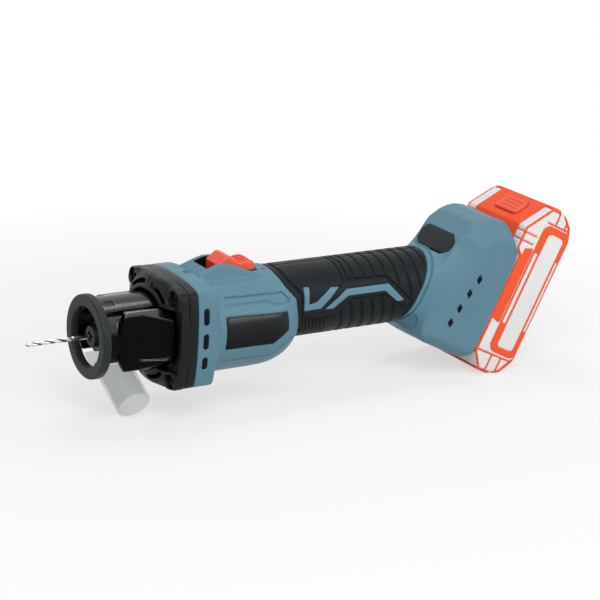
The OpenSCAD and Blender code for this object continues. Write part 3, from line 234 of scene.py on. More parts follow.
def mould(name, c, field, body, slot, look, *replaced, keep=None):
    band = bandSteps * c.step
    values = np.ascontiguousarray(np.clip(np.broadcast_to(field, c.shape), -band, band), np.float32)
    grid = openvdb.FloatGrid(band)
    grid.copyFromArray(values)
    points, quads = grid.convertToQuads(0.0)
    points = points * c.step + c.low
    if c.inFoot:
        points = fromFoot(points)
    p, q, r, s = [points[quads[:, i]] for i in range(4)]
    volume = np.sum(np.cross(p, q) * r) + np.sum(np.cross(p, r) * s)
    if volume < 0:
        quads = quads[:, ::-1]
    piece = makeObject(name, place(points), quads)
    ratio = c.keep if keep is None else keep
    if ratio < 1:
        piece.modifiers.new("lighter", "DECIMATE").ratio = ratio
        settle(piece)
    print("  %s: %d faces" % (name, len(piece.data.polygons)))
    dress(piece, body, slot, look, *replaced)


# Materials
surface = {"broadGrain": 22, "bumpDepth": 0.0002, "roughSpread": 0.06, "bevelSamples": 6}


def feed(tree, socket, value):
    if isinstance(value, (int, float, tuple)):
        socket.default_value = value
    else:
        tree.links.new(value, socket)


def setInputs(tree, node, values):
    for name, value in values.items():
        feed(tree, node.inputs[name], value)


def addNode(tree, kind, values):
    node = tree.nodes.new("ShaderNode" + kind)
    setInputs(tree, node, values)
    return node


def startMaterial(name):
    material = bpy.data.materials.new(name)
    material.use_nodes = True
    tree = material.node_tree
    tree.nodes.clear()
    shader = addNode(tree, "BsdfPrincipled", {})
    addNode(tree, "OutputMaterial", {"Surface": shader.outputs["BSDF"]})
    return material, tree, shader, addNode(tree, "TexCoord", {}).outputs["Object"]


def noise(tree, coords, scale, detail=2, stretch=None):
    if stretch:
        coords = addNode(tree, "Mapping", {"Vector": coords, "Scale": stretch}).outputs["Vector"]
    return addNode(tree, "TexNoise", {"Vector": coords, "Scale": scale, "Detail": detail}).outputs["Fac"]


def ramp(tree, value, low, high, start=0.35, end=0.65):
    limits = {"Value": value, "From Min": start, "From Max": end, "To Min": low, "To Max": high}
    return addNode(tree, "MapRange", limits).outputs["Result"]


def tint(tree, value, dark, pale):
    node = tree.nodes.new("ShaderNodeMix")
    node.data_type = "RGBA"
    setInputs(tree, node, {"A": (*dark, 1), "B": (*pale, 1), "Factor": value})
    return node.outputs["Result"]


def mathNode(tree, operation, *values):
    node = tree.nodes.new("ShaderNodeMath")
    node.operation = operation
    for socket, value in zip(node.inputs, values):
        feed(tree, socket, value)
    return node.outputs["Value"]


def bump(tree, shader, height, strength):
    values = {"Height": height, "Strength": strength, "Distance": surface["bumpDepth"]}
    relief = addNode(tree, "Bump", values)
    tree.links.new(relief.outputs["Normal"], shader.inputs["Normal"])
    return relief


def finish(name, colour, rough, grain, strength, vary, metal=0, edge=0, specular=0.5, stretch=None,
           paintedSkyShine=0, paintedShineRange=(0.25, 0.75)):
    material, tree, shader, coords = startMaterial(name)
    fine = noise(tree, coords, grain, stretch=stretch)
    broad = noise(tree, coords, surface["broadGrain"], detail=3)
    dark = [v * (1 - vary) for v in colour]
    pale = [v * (1 + vary) for v in colour]
    spread = surface["roughSpread"]
    if paintedSkyShine:
        # painted reflection: the specular level rises on faces that look up, so they catch more light than
        # upright ones
        normal = addNode(tree, "NewGeometry", {}).outputs["Normal"]
        upward = addNode(tree, "SeparateXYZ", {"Vector": normal}).outputs["Z"]
        specular = ramp(tree, upward, specular, paintedSkyShine, *paintedShineRange)
    setInputs(tree, shader, {
        "Base Color": tint(tree, ramp(tree, broad, 0, 1), dark, pale),
        "Roughness": ramp(tree, fine, rough - spread, rough + spread),
        "Metallic": metal, "Specular IOR Level": specular})
    relief = bump(tree, shader, fine, strength)
    if edge:
        bevel = addNode(tree, "Bevel", {"Radius": edge})
        bevel.samples = surface["bevelSamples"]
        tree.links.new(bevel.outputs["Normal"], relief.inputs["Normal"])
    return material


def clearFinish(name, colour, rough, grain, strength, dim, spread, cover, specular):
    material, tree, shader, coords = startMaterial(name)
    fine = noise(tree, coords, grain, detail=3)
    setInputs(tree, shader, {
        "Base Color": tint(tree, ramp(tree, fine, 0, 1), [v * dim for v in colour], colour),
        "Roughness": ramp(tree, fine, rough - spread, rough + spread),
        "Alpha": cover, "Specular IOR Level": specular})
    bump(tree, shader, fine, strength)
    return material


# Each finish: colour, roughness, scale of the grain, bump, variation of colour, then what sets it apart
looks = {
    "blueGrey": finish("blueGreyShell", (0.112, 0.240, 0.314), 0.44, 2600, 0.14, 0.03, specular=0.25),
    "softBlack": finish("softBlackGrip", (0.0085, 0.012, 0.0135), 0.45, 3200, 0.22, 0.10, specular=0.14),
    "stripe": finish("blueGreyStripe", (0.125, 0.262, 0.345), 0.42, 2600, 0.12, 0.03, edge=0.0003,
                     specular=0.25),
    "blackGrain": finish("blackGrainCover", (0.006, 0.008, 0.0095), 0.36, 2800, 0.20, 0.08, edge=0.0004,
                         specular=0.17),
    # painted reflection: the holder's specular goes from very low on upright faces to full on faces that look
    # up
    "blackGloss": finish("blackGlossNose", (0.002, 0.0024, 0.0028), 0.13, 400, 0.02, 0.10, edge=0.0005,
                         specular=0.05, paintedSkyShine=1),
    "glossArm": finish("blackGlossArm", (0.003, 0.0034, 0.0038), 0.16, 400, 0.02, 0.10, edge=0.0005,
                       specular=0.45),
    "ringGrey": finish("charcoalRing", (0.021, 0.027, 0.030), 0.48, 2800, 0.16, 0.06, specular=0.18),
    # painted shade: near-black finish for the sheets set into the shell's openings
    "paintedShade": finish("paintedShadeScreen", (0.004, 0.004, 0.005), 0.60, 1800, 0.10, 0.10, specular=0.1),
    "orange": finish("orangeSlider", (0.98, 0.115, 0.060), 0.36, 2400, 0.08, 0.04, edge=0.0004, specular=0.3),
    "packOrange": finish("orangeTrim", (1, 0.112, 0.032), 0.45, 2400, 0.1, 0.03, edge=0.0003, specular=0.15),
    "packShell": finish("palePackShell", (0.86, 0.855, 0.845), 0.50, 2600, 0.14, 0.02, edge=0.0004,
                        specular=0.3),
    # painted reflection: the plate's specular rises towards its upward faces, so it reads lighter above and
    # darker below
    "plate": finish("darkSidePlate", (0.0035, 0.005, 0.0055), 0.22, 1800, 0.05, 0.12, edge=0.0003,
                    specular=0.07, paintedSkyShine=0.32, paintedShineRange=(-0.30, 0.36)),
    "button": finish("darkFootButton", (0.012, 0.018, 0.020), 0.33, 2600, 0.10, 0.08, edge=0.0004,
                     specular=0.25),
    "mark": finish("darkSwitchMark", (0.020, 0.030, 0.038), 0.50, 2600, 0.10, 0.08, specular=0.2),
    "clear": clearFinish("frostedChute", (0.42, 0.47, 0.485), 0.30, 260, 0.04, dim=0.97, spread=0.04,
                         cover=0.24, specular=0.4),
    "steel": finish("turnedSteel", (0.52, 0.53, 0.54), 0.28, 1400, 0.08, 0.06, metal=1, edge=0.0002,
                    stretch=(14, 1, 1)),
    "darkSteel": finish("blackenedSteel", (0.012, 0.014, 0.020), 0.30, 1500, 0.10, 0.12, edge=0.0003,
                        specular=0.4),
    "nutBlack": finish("blackenedNut", (0.006, 0.007, 0.012), 0.34, 1500, 0.10, 0.12, edge=0.0003,
                       specular=0.16),
    "iron": finish("stackedIron", (0.10, 0.105, 0.11), 0.45, 900, 0.20, 0.08, metal=0.8, stretch=(8, 1, 1)),
    "magnet": finish("coatedMagnet", (0.05, 0.052, 0.055), 0.38, 1500, 0.08, 0.08, metal=0.6),
    "copper": finish("enamelCopper", (0.42, 0.16, 0.06), 0.3, 1800, 0.3, 0.12, metal=0.9, stretch=(1, 9, 9)),
    "board": finish("greenBoard", (0.016, 0.085, 0.040), 0.35, 900, 0.08, 0.10),
    "cell": finish("blueCellWrap", (0.05, 0.16, 0.42), 0.30, 700, 0.04, 0.05),
    "aluminium": finish("castAluminium", (0.42, 0.43, 0.44), 0.42, 1200, 0.18, 0.06, metal=0.9),
    "contact": finish("platedContact", (0.62, 0.42, 0.15), 0.26, 1200, 0.06, 0.06, metal=1),
}
print("materials: %d finishes" % len(looks))

# Every solid gets a finish, and those that no piece below replaces keep their own shape
plainNodes = {
    "steel": ["spiral_bit", "collet", "spindle", "front_bearing", "rear_bearing"],
    "nutBlack": ["collet_nut"],
    "darkSteel": ["housing_screws", "pack_screws", "cover_screws"],
    "iron": ["rotor_core", "stator_core"],
    "magnet": ["rotor_magnets"],
    "copper": ["stator_coils"],
    "board": ["motor_board", "button_board", "pack_board"],
    "blackGrain": ["cooling_fan", "rear_bearing_cap", "switch_link", "switch_body", "terminal_block",
                   "cell_holders", "bearing_plate", "front_cover"],
    "aluminium": ["controller"],
    "contact": ["terminal_blades", "pack_contacts"],
    "cell": ["pack_cells"],
    "plate": ["side_plate"],
    "button": ["mode_button"],
    "clear": ["dust_chute"],
    "stripe": ["left_stripes", "right_stripes"],
    "packOrange": ["latch_button", "pack_trim"],
    "packShell": ["pack_top_case", "pack_base_case"],
    "blueGrey": ["left_housing", "right_housing"],
    "softBlack": ["left_grip", "right_grip"],
    "blackGloss": ["guide_holder", "guide_arm"],
    "ringGrey": ["guide_foot"],
    "orange": ["switch_slider"],
}
plainAngle = math.radians(32)
bare = set(nodes)
for look, names in plainNodes.items():
    for name in names:
        mesh = nodes[name].data
        mesh.materials.clear()
        mesh.materials.append(looks[look])
        mesh.set_sharp_from_angle(angle=plainAngle)
        smoothFaces(mesh)
        bare.discard(name)
print("solids dressed: %d, left bare: %s" % (len(nodes) - len(bare), sorted(bare)))

# Housing: flange, barrel, switch guard, collar, grip core, neck and foot in two halves
housing = {
    "grid": ((64, -1, -58), (344, 42, 62), 0.6, 0.3), "wall": 3, "seam": 0.05, "edge": 0.35,
    "flange": {"front": 66.5, "rear": 82, "sharp": 6, "edge": 2.2, "halfWidth": 39.8, "halfHeight": 38.7,
               "corner": 15, "bulge": 150, "facet": 48.9},
    "shoulder": [(68, -40), (68, 41), (81, 41), (87.5, 35), (87.5, -40)], "shoulderInset": 0.5,
    "barrel": {"front": 40, "radius": 36.5, "tail": 128, "tailLength": 38, "nose": 6, "below": -30,
               "tailPoints": 16},
    "guard": [(79.5, 30), (134, 30), (134, 33), (130, 34.6), (124, 35.9), (119.1, 37.8), (113, 40.4),
              (107, 43), (101.5, 44.6), (96, 44.7), (91, 43.5), (86, 41.6), (79.5, 39)],
    "guardSection": [(-16.2, 24), (16.2, 24), (15.6, 32.5), (12.9, 46), (-12.9, 46), (-15.6, 32.5)],
    "lip": [(84, -13), (90, -17.4), (123, -17.4), (131.5, -11), (131.5, 11), (123, 17.4), (90, 17.4),
            (84, 13)],
    "lipHeight": 1.5,
    "collar": [(60, 70), (139.2, 70), (139.2, 37), (145.3, 25.1), (153.1, 16.4), (153.9, -8.4),
               (152.5, -12.2), (149.8, -18.1), (139.8, -35.4), (136, -50), (60, -60)],
    "collarStart": 138, "collarProud": 0.6,
    "upperTrim": [(92.2, 24.3), (139.5, 23.2), (146.3, 16.1), (130.1, 17), (126.5, 19.7), (92.2, 20.2)],
    "lowerTrim": [(91.4, -20.2), (131.2, -21.2), (145.4, -10.1), (170, -12), (150, -50), (91.4, -50)],
    "trim": {"depth": 0.55, "upperSide": 16, "lowerSide": 4, "crease": 1.3, "creaseHalf": 0.55,
             "creaseOut": 0.2, "creaseStart": 93},
    "vents": {"x": 72.75, "half": 2.1, "side": 22, "spans": [(11.1, 23), (-6.2, 4.9), (-20.9, -11.9)]},
    "tray": {"grid": ((86.1, -12, 32), (129.4, 12, 47), 0.35, 0.5), "x": (88.1, 127.4), "halfWidth": 9.4,
             "floor": 35.4, "thick": 0.75, "room": 0.8, "top": 70, "sunk": 0.6,
             "stem": ((96.1, -3.9, 20), (116.9, 3.9, 40))},
}
grip = {"halfWidth": 25, "halfHeight": 27, "corner": 23, "centre": 7.8, "skin": 2.2, "coreWall": 2.4,
        "start": 140, "end": 292, "edge": -63, "neckProud": 0.3, "neckEnd": -20,
        "groove": {"behind": 3.4, "half": 0.6, "depth": 0.7}}
foot = {
    "side": [(0, -53.75), (0, 31.5), (-16, 54), (-28, 51), (-40, 42.8), (-50, 26.9), (-50, -53.75)],
    "panel": [(30, 43), (-15, 42), (-26, 38.5), (-33.5, 29), (-41, -40), (-41.5, -47), (30, -47)],
    "halfWidth": 37, "corner": 8, "panelSlope": 0.7, "sideSlope": 0.714, "ankle": 15, "rearWall": -12.4,
    "diamonds": [(-25.6, 5.8), (-28.7, -6.7), (-31.3, -19.8), (-33.6, -32.1)],
    "diamond": {"halfA": 2.6, "halfB": 4, "turn": math.radians(20), "slope": 2.1, "side": 31},
    "seat": {"n": (-58.1, -47.9), "halfWidth": 20.9, "halfHeight": 8.65},
    "channel": {"floor": -9.4, "wide": 26.9, "neck": 23.4, "low": -40.4, "lip": -4, "out": 9, "top": 90},
    "dimple": {"n": -56, "side": 14, "u": -42, "radius": 9, "depth": 1.3},
}
screws = {"grip": [(141.94, -24.06), (163.84, -5.97), (256.02, 24), (254.03, -8.94)], "gripBore": 3.2,
          "foot": [(-36, 40.04), (-34, -44.08)], "footBore": 2.9, "from": 14}


def flangeSection(c, shrink=0):
    f = housing["flange"]
    w = f["halfWidth"] - shrink
    h = f["halfHeight"] - shrink
    square = rect(c.y, c.z, w, h, f["corner"])
    top = np.hypot(c.y, np.abs(c.z) + f["bulge"] - h) - f["bulge"]
    sides = np.hypot(c.side + f["bulge"] - w, c.z) - f["bulge"]
    facet = (c.side + np.abs(c.z)) / math.sqrt(2) - f["facet"] + shrink
    return meet(meet(meet(square, top, 2), sides, 2), facet, 0.3)


def flangePlate(c, front, rear, edge, sharp):
    # a slab of the flange's outline with soft edges, left sharp over one stretch
    section = flangeSection(c)
    return either(swept(section, c.x, front, rear, edge), both(section, within(c.x, *sharp)))


def barrelField(c, grow=0):
    b = housing["barrel"]
    if "barrel" not in c.kept:
        drop = b["radius"] - b["nose"]
        turns = np.linspace(0, math.pi / 2, b["tailPoints"])
        tail = [(b["tail"] + b["tailLength"] * math.sin(t), b["nose"] + drop * math.cos(t)) for t in turns]
        profile = [(b["front"], b["below"]), (b["front"], b["radius"])] + tail + [(tail[-1][0], b["below"])]
        c.kept["barrel"] = shape(c.x, c.rho, profile)
    return c.kept["barrel"] - grow


def gripField(c, grow=0):
    g = grip
    return rect(c.y, c.z - g["centre"], g["halfWidth"] + grow, g["halfHeight"] + grow, g["corner"] + grow)


def gripCore(c, shrink):
    return both(gripField(c, -shrink), grip["start"] - c.x, c.x - grip["end"])


def collarField(c):
    # blue form that the soft grip grows out of: rounded tail and a thin collar with a faceted edge
    limit = shape(c.x, c.z, housing["collar"], 1)
    hug = meet(gripField(c, housing["collarProud"]), housing["collarStart"] - c.x, 1)
    return meet(join(barrelField(c), hug, 2), limit, 1)


def guardField(c):
    return meet(shape(c.x, c.z, housing["guard"], 0.8), shape(c.y, c.z, housing["guardSection"], 1), 1.6)


def footField(c, shrink=0):
    # side outline, flat sides, and a bevel that runs round the raised side panel
    side = shape(c.n, c.u, foot["side"], foot["corner"]) + shrink
    flat = c.side - foot["halfWidth"] + shrink
    panel = shape(c.n, c.u, foot["panel"])
    bevel = foot["panelSlope"] * panel + foot["sideSlope"] * (c.side - foot["halfWidth"]) + shrink
    return meet(meet(side, flat, 3), bevel, 1.6)


def octagon(a, b, halfA, halfB, corner):
    straight = both(np.abs(a) - halfA, np.abs(b) - halfB)
    return both(straight, (np.abs(a) + np.abs(b) - halfA - halfB + corner) / math.sqrt(2))


def trimmed(c, body):
    # sunk panels on the barrel's sides, with a crease round each
    t, edge = housing["trim"], housing["edge"]
    upper = shape(c.x, c.z, housing["upperTrim"], 0.6)
    lower = shape(c.x, c.z, housing["lowerTrim"], 0.8)
    step = -barrelField(c, -t["depth"])
    body = carve(body, both(upper, step, t["upperSide"] - c.side), edge)
    body = carve(body, both(lower, step, t["lowerSide"] - c.side), edge)
    crease = either(np.abs(upper - t["creaseOut"]), np.abs(lower - t["creaseOut"])) - t["creaseHalf"]
    crease = both(crease, t["creaseStart"] - c.x, -barrelField(c, -t["crease"]), t["lowerSide"] - c.side)
    return carve(body, crease, edge)


def ankleField(c):
    d, g, behind = foot["dimple"], grip["groove"], grip["edge"] - c.n
    neck = both(meet(gripField(c, grip["neckProud"]), behind, 0.8), c.n - grip["neckEnd"])
    ankle = both(join(neck, footField(c), foot["ankle"]), behind)
    groove = nearLine(c.n, grip["edge"] + g["behind"], g["half"])
    ankle = carve(ankle, both(groove, -gripField(c, -g["depth"])), 0.5)
    dimple = np.sqrt((c.n - d["n"]) ** 2 + (c.side - d["side"]) ** 2 + (c.u - d["u"]) ** 2) - d["radius"]
    return carve(ankle, both(dimple, -ankle - d["depth"]), 2)


def housingField(c):
    f = housing["flange"]
    flange = flangePlate(c, f["front"], f["rear"], f["edge"], (f["front"], f["front"] + f["sharp"]))
    inset = flangeSection(c, housing["shoulderInset"])
    shoulder = meet(shape(c.x, c.rho, housing["shoulder"], 1), inset, 1)
    lip = meet(barrelField(c, housing["lipHeight"]), shape(c.x, c.y, housing["lip"], 2), 0.8)
    body = trimmed(c, join(join(collarField(c), lip, 0.4), guardField(c), 0.8))
    shell = join(join(flange, shoulder, 0.8), body, 1.6)
    return either(shell, gripCore(c, grip["skin"]), ankleField(c))


def housingInside(c):
    wall = housing["wall"]
    tube = gripCore(c, grip["skin"] + grip["coreWall"])
    box = both(footField(c, wall), c.n - foot["rearWall"])
    return either(barrelField(c, -wall), tube, box)


def ventSlots(c):
    v = housing["vents"]
    return either(*[rect(c.x - v["x"], c.z - (low + high) / 2, v["half"], (high - low) / 2, v["half"])
                    for low, high in v["spans"]])


def diamondSlots(c):
    d, slots = foot["diamond"], []
    turnCos, turnSin = math.cos(d["turn"]), math.sin(d["turn"])
    for n, u in foot["diamonds"]:
        a = (c.n - n) * turnCos + (c.u - u) * turnSin
        b = (c.u - u) * turnCos - (c.n - n) * turnSin
        slots.append((np.abs(a) / d["halfA"] + np.abs(b) / d["halfB"] - 1) * d["slope"])
    return either(*slots)


def trayBlock(c, grow, r):
    t, wide = housing["tray"], housing["tray"]["halfWidth"] + grow
    (front, rear), low = t["x"], t["floor"] - grow
    return block(c.axes, (front - grow, -wide, low), (rear + grow, wide, t["top"]), r)


def gripBores(c):
    return bores(c.x, c.z, screws["grip"], screws["gripBore"], screws["from"] - c.y)


def housingCuts(c):
    t, k, s = housing["tray"], foot["channel"], foot["seat"]
    vents = both(ventSlots(c), housing["vents"]["side"] - c.side)
    diamonds = both(diamondSlots(c), foot["diamond"]["side"] - c.side)
    wide = block(c.footAxes, (k["floor"], -k["wide"], k["low"]), (k["lip"], k["wide"], k["top"]), 0.4)
    neck = block(c.footAxes, (k["floor"], -k["neck"], k["low"]), (k["out"], k["neck"], k["top"]), 0.4)
    seat = octagon(c.y, c.u - button["u"], s["halfWidth"], s["halfHeight"], button["corner"])
    seat = both(seat, within(c.n, *s["n"]))
    footBores = bores(c.n, c.u, screws["foot"], screws["footBore"], screws["from"] - c.y)
    return either(trayBlock(c, t["room"], 1), block(c.axes, *t["stem"], 0.5), vents, diamonds, wide, neck,
                  seat, gripBores(c), footBores)


def makeHousing():
    for side, name in halves:
        c = sideClay(side, *housing["grid"])
        field = carve(housingField(c), housingInside(c), 0.6)
        field = carve(field, housingCuts(c), 0.6)
        if side < 0:
            plate = shape(c.x, c.z, sidePlate["outline"], 1)
            field = carve(field, both(plate, -barrelField(c, -sidePlate["seat"])), 0.4)
        field = meet(field, housing["seam"] - side * c.y, housing["edge"])
        mould(name + ".housing.shell", c, field, "housing", "blue_grey", "blueGrey", name + "_housing")


# Dark sheets set into the shell's openings as painted shade for their shaded insides: switch tray, vent
# screens and foot screens
shadeScreens = {
    "vent": {"grid": ((69, 30, -23), (76.5, 41.5, 25), 0.4, 0.5), "grow": 0.2, "sunk": 0.6, "deep": 2.4},
    "foot": {"grid": ((-40, 33, -39), (-19, 37.5, 13), 0.4, 0.5, True), "grow": 0.2, "side": (33.9, 36.5)},
}


def makeShadeScreens():
    t, v, f = housing["tray"], shadeScreens["vent"], shadeScreens["foot"]
    c = Clay(*t["grid"])
    # painted shade: a dark tray lining the switch pocket's floor and walls
    field = both(trayBlock(c, t["thick"], 0.9), -trayBlock(c, 0, 0.5))
    field = carve(field, block(c.axes, *t["stem"], 0.5), 0.2)
    field = both(field, join(guardField(c), barrelField(c), 1) + t["sunk"])
    mould("switch.shade.tray", c, field, "housing", "black_plastic", "paintedShade")
    for side, name in halves:
        c = sideClay(side, *v["grid"])
        section = flangeSection(c)
        # painted shade: dark plugs sunk just inside the vent slots
        field = both(ventSlots(c) - v["grow"], section + v["sunk"], -section - v["deep"])
        mould(name + ".vent.shade.screen", c, field, "housing", "black_plastic", "paintedShade")
        c = sideClay(side, *f["grid"])
        # painted shade: dark plugs just under the foot's diamond holes
        field = both(diamondSlots(c) - f["grow"], within(c.side, *f["side"]))
        mould(name + ".foot.shade.screen", c, field, "housing", "black_plastic", "paintedShade")


# On and off marks, before and behind the switch
marks = {
    "off": {"grid": ((73, -5, 37), (80, 2.4, 40), 0.22, 0.5), "x": 76.4, "y": -1.4, "radius": 2.2,
            "stroke": 0.45},
    "on": {"grid": ((132, -9, 33), (139, -4, 37), 0.22, 0.5), "x": 135.4, "y": -6.4, "half": 2.3,
           "stroke": 0.5},
    "proud": 0.15, "sunk": 0.6,
}


def makeMarks():
    off, on = marks["off"], marks["on"]
    c = Clay(*off["grid"])
    section = flangeSection(c)
    circle = nearLine(np.hypot(c.x - off["x"], c.y - off["y"]), off["radius"], off["stroke"])
    field = both(section - marks["proud"], -section - marks["sunk"], circle)
    mould("mark.off", c, field, "housing", "black_plastic", "mark")
    c = Clay(*on["grid"])
    bar = rect(c.x - on["x"], c.y - on["y"], on["half"], on["stroke"], 0.3)
    field = both(barrelField(c, marks["proud"]), -barrelField(c, -marks["sunk"]), bar)
    mould("mark.on", c, field, "housing", "black_plastic", "mark")


# Soft skin of the grip, with ribs, a grooved panel round the stripes and fine ribs below the hook stripe
skin = {
    "grid": ((138, -0.6, -22), (300, 26.5, 38), 0.6, 0.35), "gap": 0.25, "under": 0.1, "depth": 1.3,
    "front": {"behind": 5.2, "half": 0.7}, "bend": {"share": 0.0054, "top": 34}, "rearClear": 2.5,
    "upperRibs": {"first": 203.4, "pitch": 9.2, "count": 8, "half": 0.8, "low": 24.5, "turn": 233,
                  "fall": 0.9, "lowest": 3},
    "lowerRibs": {"first": 196, "pitch": 9.2, "count": 6, "half": 1.1, "high": 9, "lean": 0.22,
                  "upright": -19},
    "fineRibs": {"first": 160.5, "pitch": 3.1, "count": 7, "half": 0.6, "z": (-24, -0.5), "lean": 0.25,
                 "upright": -7},
    "doubleGroove": {"x": (193.6, 198), "half": 0.7, "low": 22.5},
    "panel": [(160, 23), (168, 23.5), (171.5, 10.8), (178, 11.2), (190, 20.5), (197.5, 24.6), (231.5, 23.4),
              (256, 1), (248, -2), (230.5, 10.2), (201, 10.6), (185, -1.2), (160.5, 0.6)],
    "panelGroove": {"half": 0.55, "side": 8}, "hookEnd": {"x": 189, "z": 3},
}
stripes = {
    "grid": ((158, 12, 1), (252, 26.5, 26), 0.5, 0.5), "x": 160, "z": 3.5, "length": 88, "height": 20,
    "proud": 0.3, "gap": 0.12,
    "hook": [(0, 0.98), (0.055, 0.97), (0.047, 0.36), (0.114, 0.4), (0.262, 0.88), (0.338, 0.85),
             (0.166, 0.15), (0.002, 0.125)],
    "wave": [(0.206, 0.09), (0.284, 0.085), (0.425, 0.495), (0.792, 0.49), (0.925, 0), (0.993, 0.04),
             (0.828, 0.74), (0.411, 0.745)],
}


def scaled(outline, s):
    # an outline drawn in shares of a piece's length and height
    return [(s["x"] + a * s["length"], s["z"] + b * s["height"]) for a, b in outline]


def ribPlaces(r):
    return [r["first"] + i * r["pitch"] for i in range(r["count"])]


def stripeField(c, grow=0):
    hook, wave = [shape(c.x, c.z, scaled(stripes[name], stripes)) for name in ("hook", "wave")]
    return either(hook, wave) - grow


def gripGrooves(c, panel):
    upper, lower, fine, double = [skin[k] for k in ("upperRibs", "lowerRibs", "fineRibs", "doubleGroove")]
    bend = skin["bend"]["share"] * (c.z - skin["bend"]["top"]) ** 2
    fall = upper["low"] - (c.x - upper["turn"]) * upper["fall"]
    above = np.clip(fall, upper["lowest"], upper["low"]) - c.z
    below = both(c.z - lower["high"], -panel)
    grooves = [nearLine(collarField(c), skin["front"]["behind"], skin["front"]["half"])]
    grooves += [both(nearLine(c.x, x + bend, upper["half"]), above) for x in ribPlaces(upper)]
    grooves += [both(nearLine(c.x - x, bend, double["half"]), double["low"] - c.z) for x in double["x"]]
    for r, limit in ((lower, below), (fine, within(c.z, *fine["z"]))):
        lean = (c.z - r["upright"]) * r["lean"]
        grooves += [both(nearLine(c.x, x - lean, r["half"]), limit) for x in ribPlaces(r)]
    return either(*grooves)


def makeGrip():
    under = grip["skin"] - skin["under"]
    for side, name in halves:
        c = sideClay(side, *skin["grid"])
        tube = gripField(c)
        field = carve(both(tube, -gripField(c, -under)), collarField(c) - skin["gap"], 0.6)
        field = carve(field, guardField(c) - skin["gap"], 0.6)
        field = meet(field, c.n - grip["edge"] + skin["gap"], 0.8)
        panel = shape(c.x, c.z, skin["panel"], 0.8)
        inHook = both(c.x - skin["hookEnd"]["x"], skin["hookEnd"]["z"] - c.z)
        outline = both(nearLine(panel, 0, skin["panelGroove"]["half"]), -inHook,
                       skin["panelGroove"]["side"] - c.side)
        grooves = both(either(gripGrooves(c, panel), outline), -tube - skin["depth"],
                       c.n - grip["edge"] + skin["rearClear"])
        field = carve(carve(field, grooves, 0.7), stripeField(c, stripes["gap"]), 0.4)
        if side > 0:
            field = carve(field, gripBores(c), 0.4)
        field = meet(field, housing["seam"] - side * c.y, 0.3)
        mould(name + ".grip.skin", c, field, "housing", "soft_black", "softBlack", name + "_grip")
    for side, name in halves:
        c = sideClay(side, *stripes["grid"])
        field = both(gripField(c, stripes["proud"]), -gripField(c, -under))
        field = meet(field, stripeField(c), 0.6)
        mould(name + ".stripes.inlay", c, field, "housing", "blue_grey", "stripe", name + "_stripes")


# Dark plate set into the left of the barrel
sidePlate = {
    "grid": ((88, -38, -13), (145, -28, 16), 0.5, 0.5), "proud": 0.25, "gap": 0.25, "deep": 0.55, "seat": 0.6,
    "outline": [(90.5, -10.5), (129.9, -11), (143, -2.4), (141.95, 11.5), (90.5, 13.5)],
}


def makeSidePlate():
    c = Clay(*sidePlate["grid"])
    outline = shape(c.x, c.z, sidePlate["outline"], 1) + sidePlate["gap"]
    field = meet(barrelField(c, sidePlate["proud"]), outline, 0.7)
    field = meet(field, -barrelField(c, -sidePlate["deep"]), 0.3)
    mould("side.plate", c, field, "housing", "plate_dark", "plate", "side_plate")


# Switch slider: wedge at the front, saddle, ridged rear hump, stem below
slider = {
    "grid": ((95, -10, 31.5), (128.6, 10, 50), 0.35, 0.5),
    "x": 96.5, "z": 35.6, "length": 30.5, "height": 13, "halfWidth": 9,
    "ridges": {"first": 115, "pitch": 3.2, "count": 4, "half": 0.8, "lean": 0.12, "low": 41.6,
               "halfWidth": 7.2},
    "outline": [(0, 0), (1, 0), (1, 0.4), (0.95, 0.56), (0.84, 0.62), (0.73, 0.6), (0.64, 0.55), (0.56, 0.59),
                (0.34, 0.96), (0.28, 1), (0.22, 0.98), (0, 0.58)],
    "stem": ((104.5, -3.5, 32.6), (116.5, 3.5, 37)),
}


def makeSlider():
    s, r = slider, slider["ridges"]
    c = Clay(*s["grid"])
    field = meet(shape(c.x, c.z, scaled(s["outline"], s), 0.7), c.side - s["halfWidth"], 2)
    for x in ribPlaces(r):
        ridge = both(nearLine(c.x - x, -c.y * r["lean"], r["half"]), r["low"] - c.z, c.side - r["halfWidth"])
        field = carve(field, ridge, 0.4)
    field = either(field, block(c.axes, *s["stem"], 0.4))
    mould("switch.slider", c, field, "power_switch", "orange", "orange", "switch_slider")


# Nose: vented cover and bearing plate
cover = {
    "grid": ((44.5, -42, -43), (60.5, 42, 43), 0.55, 0.4), "face": 51.5, "rear": 59.3, "edge": 1.8,
    "sharp": (55.3, 59.3), "bore": 28.5, "cheekRoom": {"halfHeight": 22.1, "rear": 53},
    "profile": [(45.5, -40), (45.5, 31), (47.57, 35.2), (49.64, 38.5), (53.45, 41.1), (59.3, 41.1),
                (59.3, -40)],
    "room": [(40, -40), (40, 28.2), (48.5, 28.2), (48.5, 35.2), (62, 35.2), (62, -40)],
    "vent": {"radius": 33.5, "half": 1.5, "corner": 1.4, "lean": 25, "spread": 36, "rear": 51.5},
    "line": {"half": 0.4, "x": (46.8, 51.2), "depth": 0.8},
    "screw": {"at": 29.5, "boss": 8.2, "bossX": (51, 58.3), "head": 5.2, "headRear": 56.5, "bore": 2.2},
}
bearing = {
    "grid": ((50, -42, -43), (68, 42, 43), 0.7, 0.35), "x": (59.32, 66.48), "hub": 17.5, "hubX": (55.6, 66.4),
    "bore": 9, "seat": 14.05, "seatX": 58.5,
    "ports": {"radius": 28, "half": 4, "pitch": 60, "spread": 20, "arc": 0.5},
}


def screwDistance(c):
    return np.hypot(c.side - cover["screw"]["at"], np.abs(c.z) - cover["screw"]["at"])


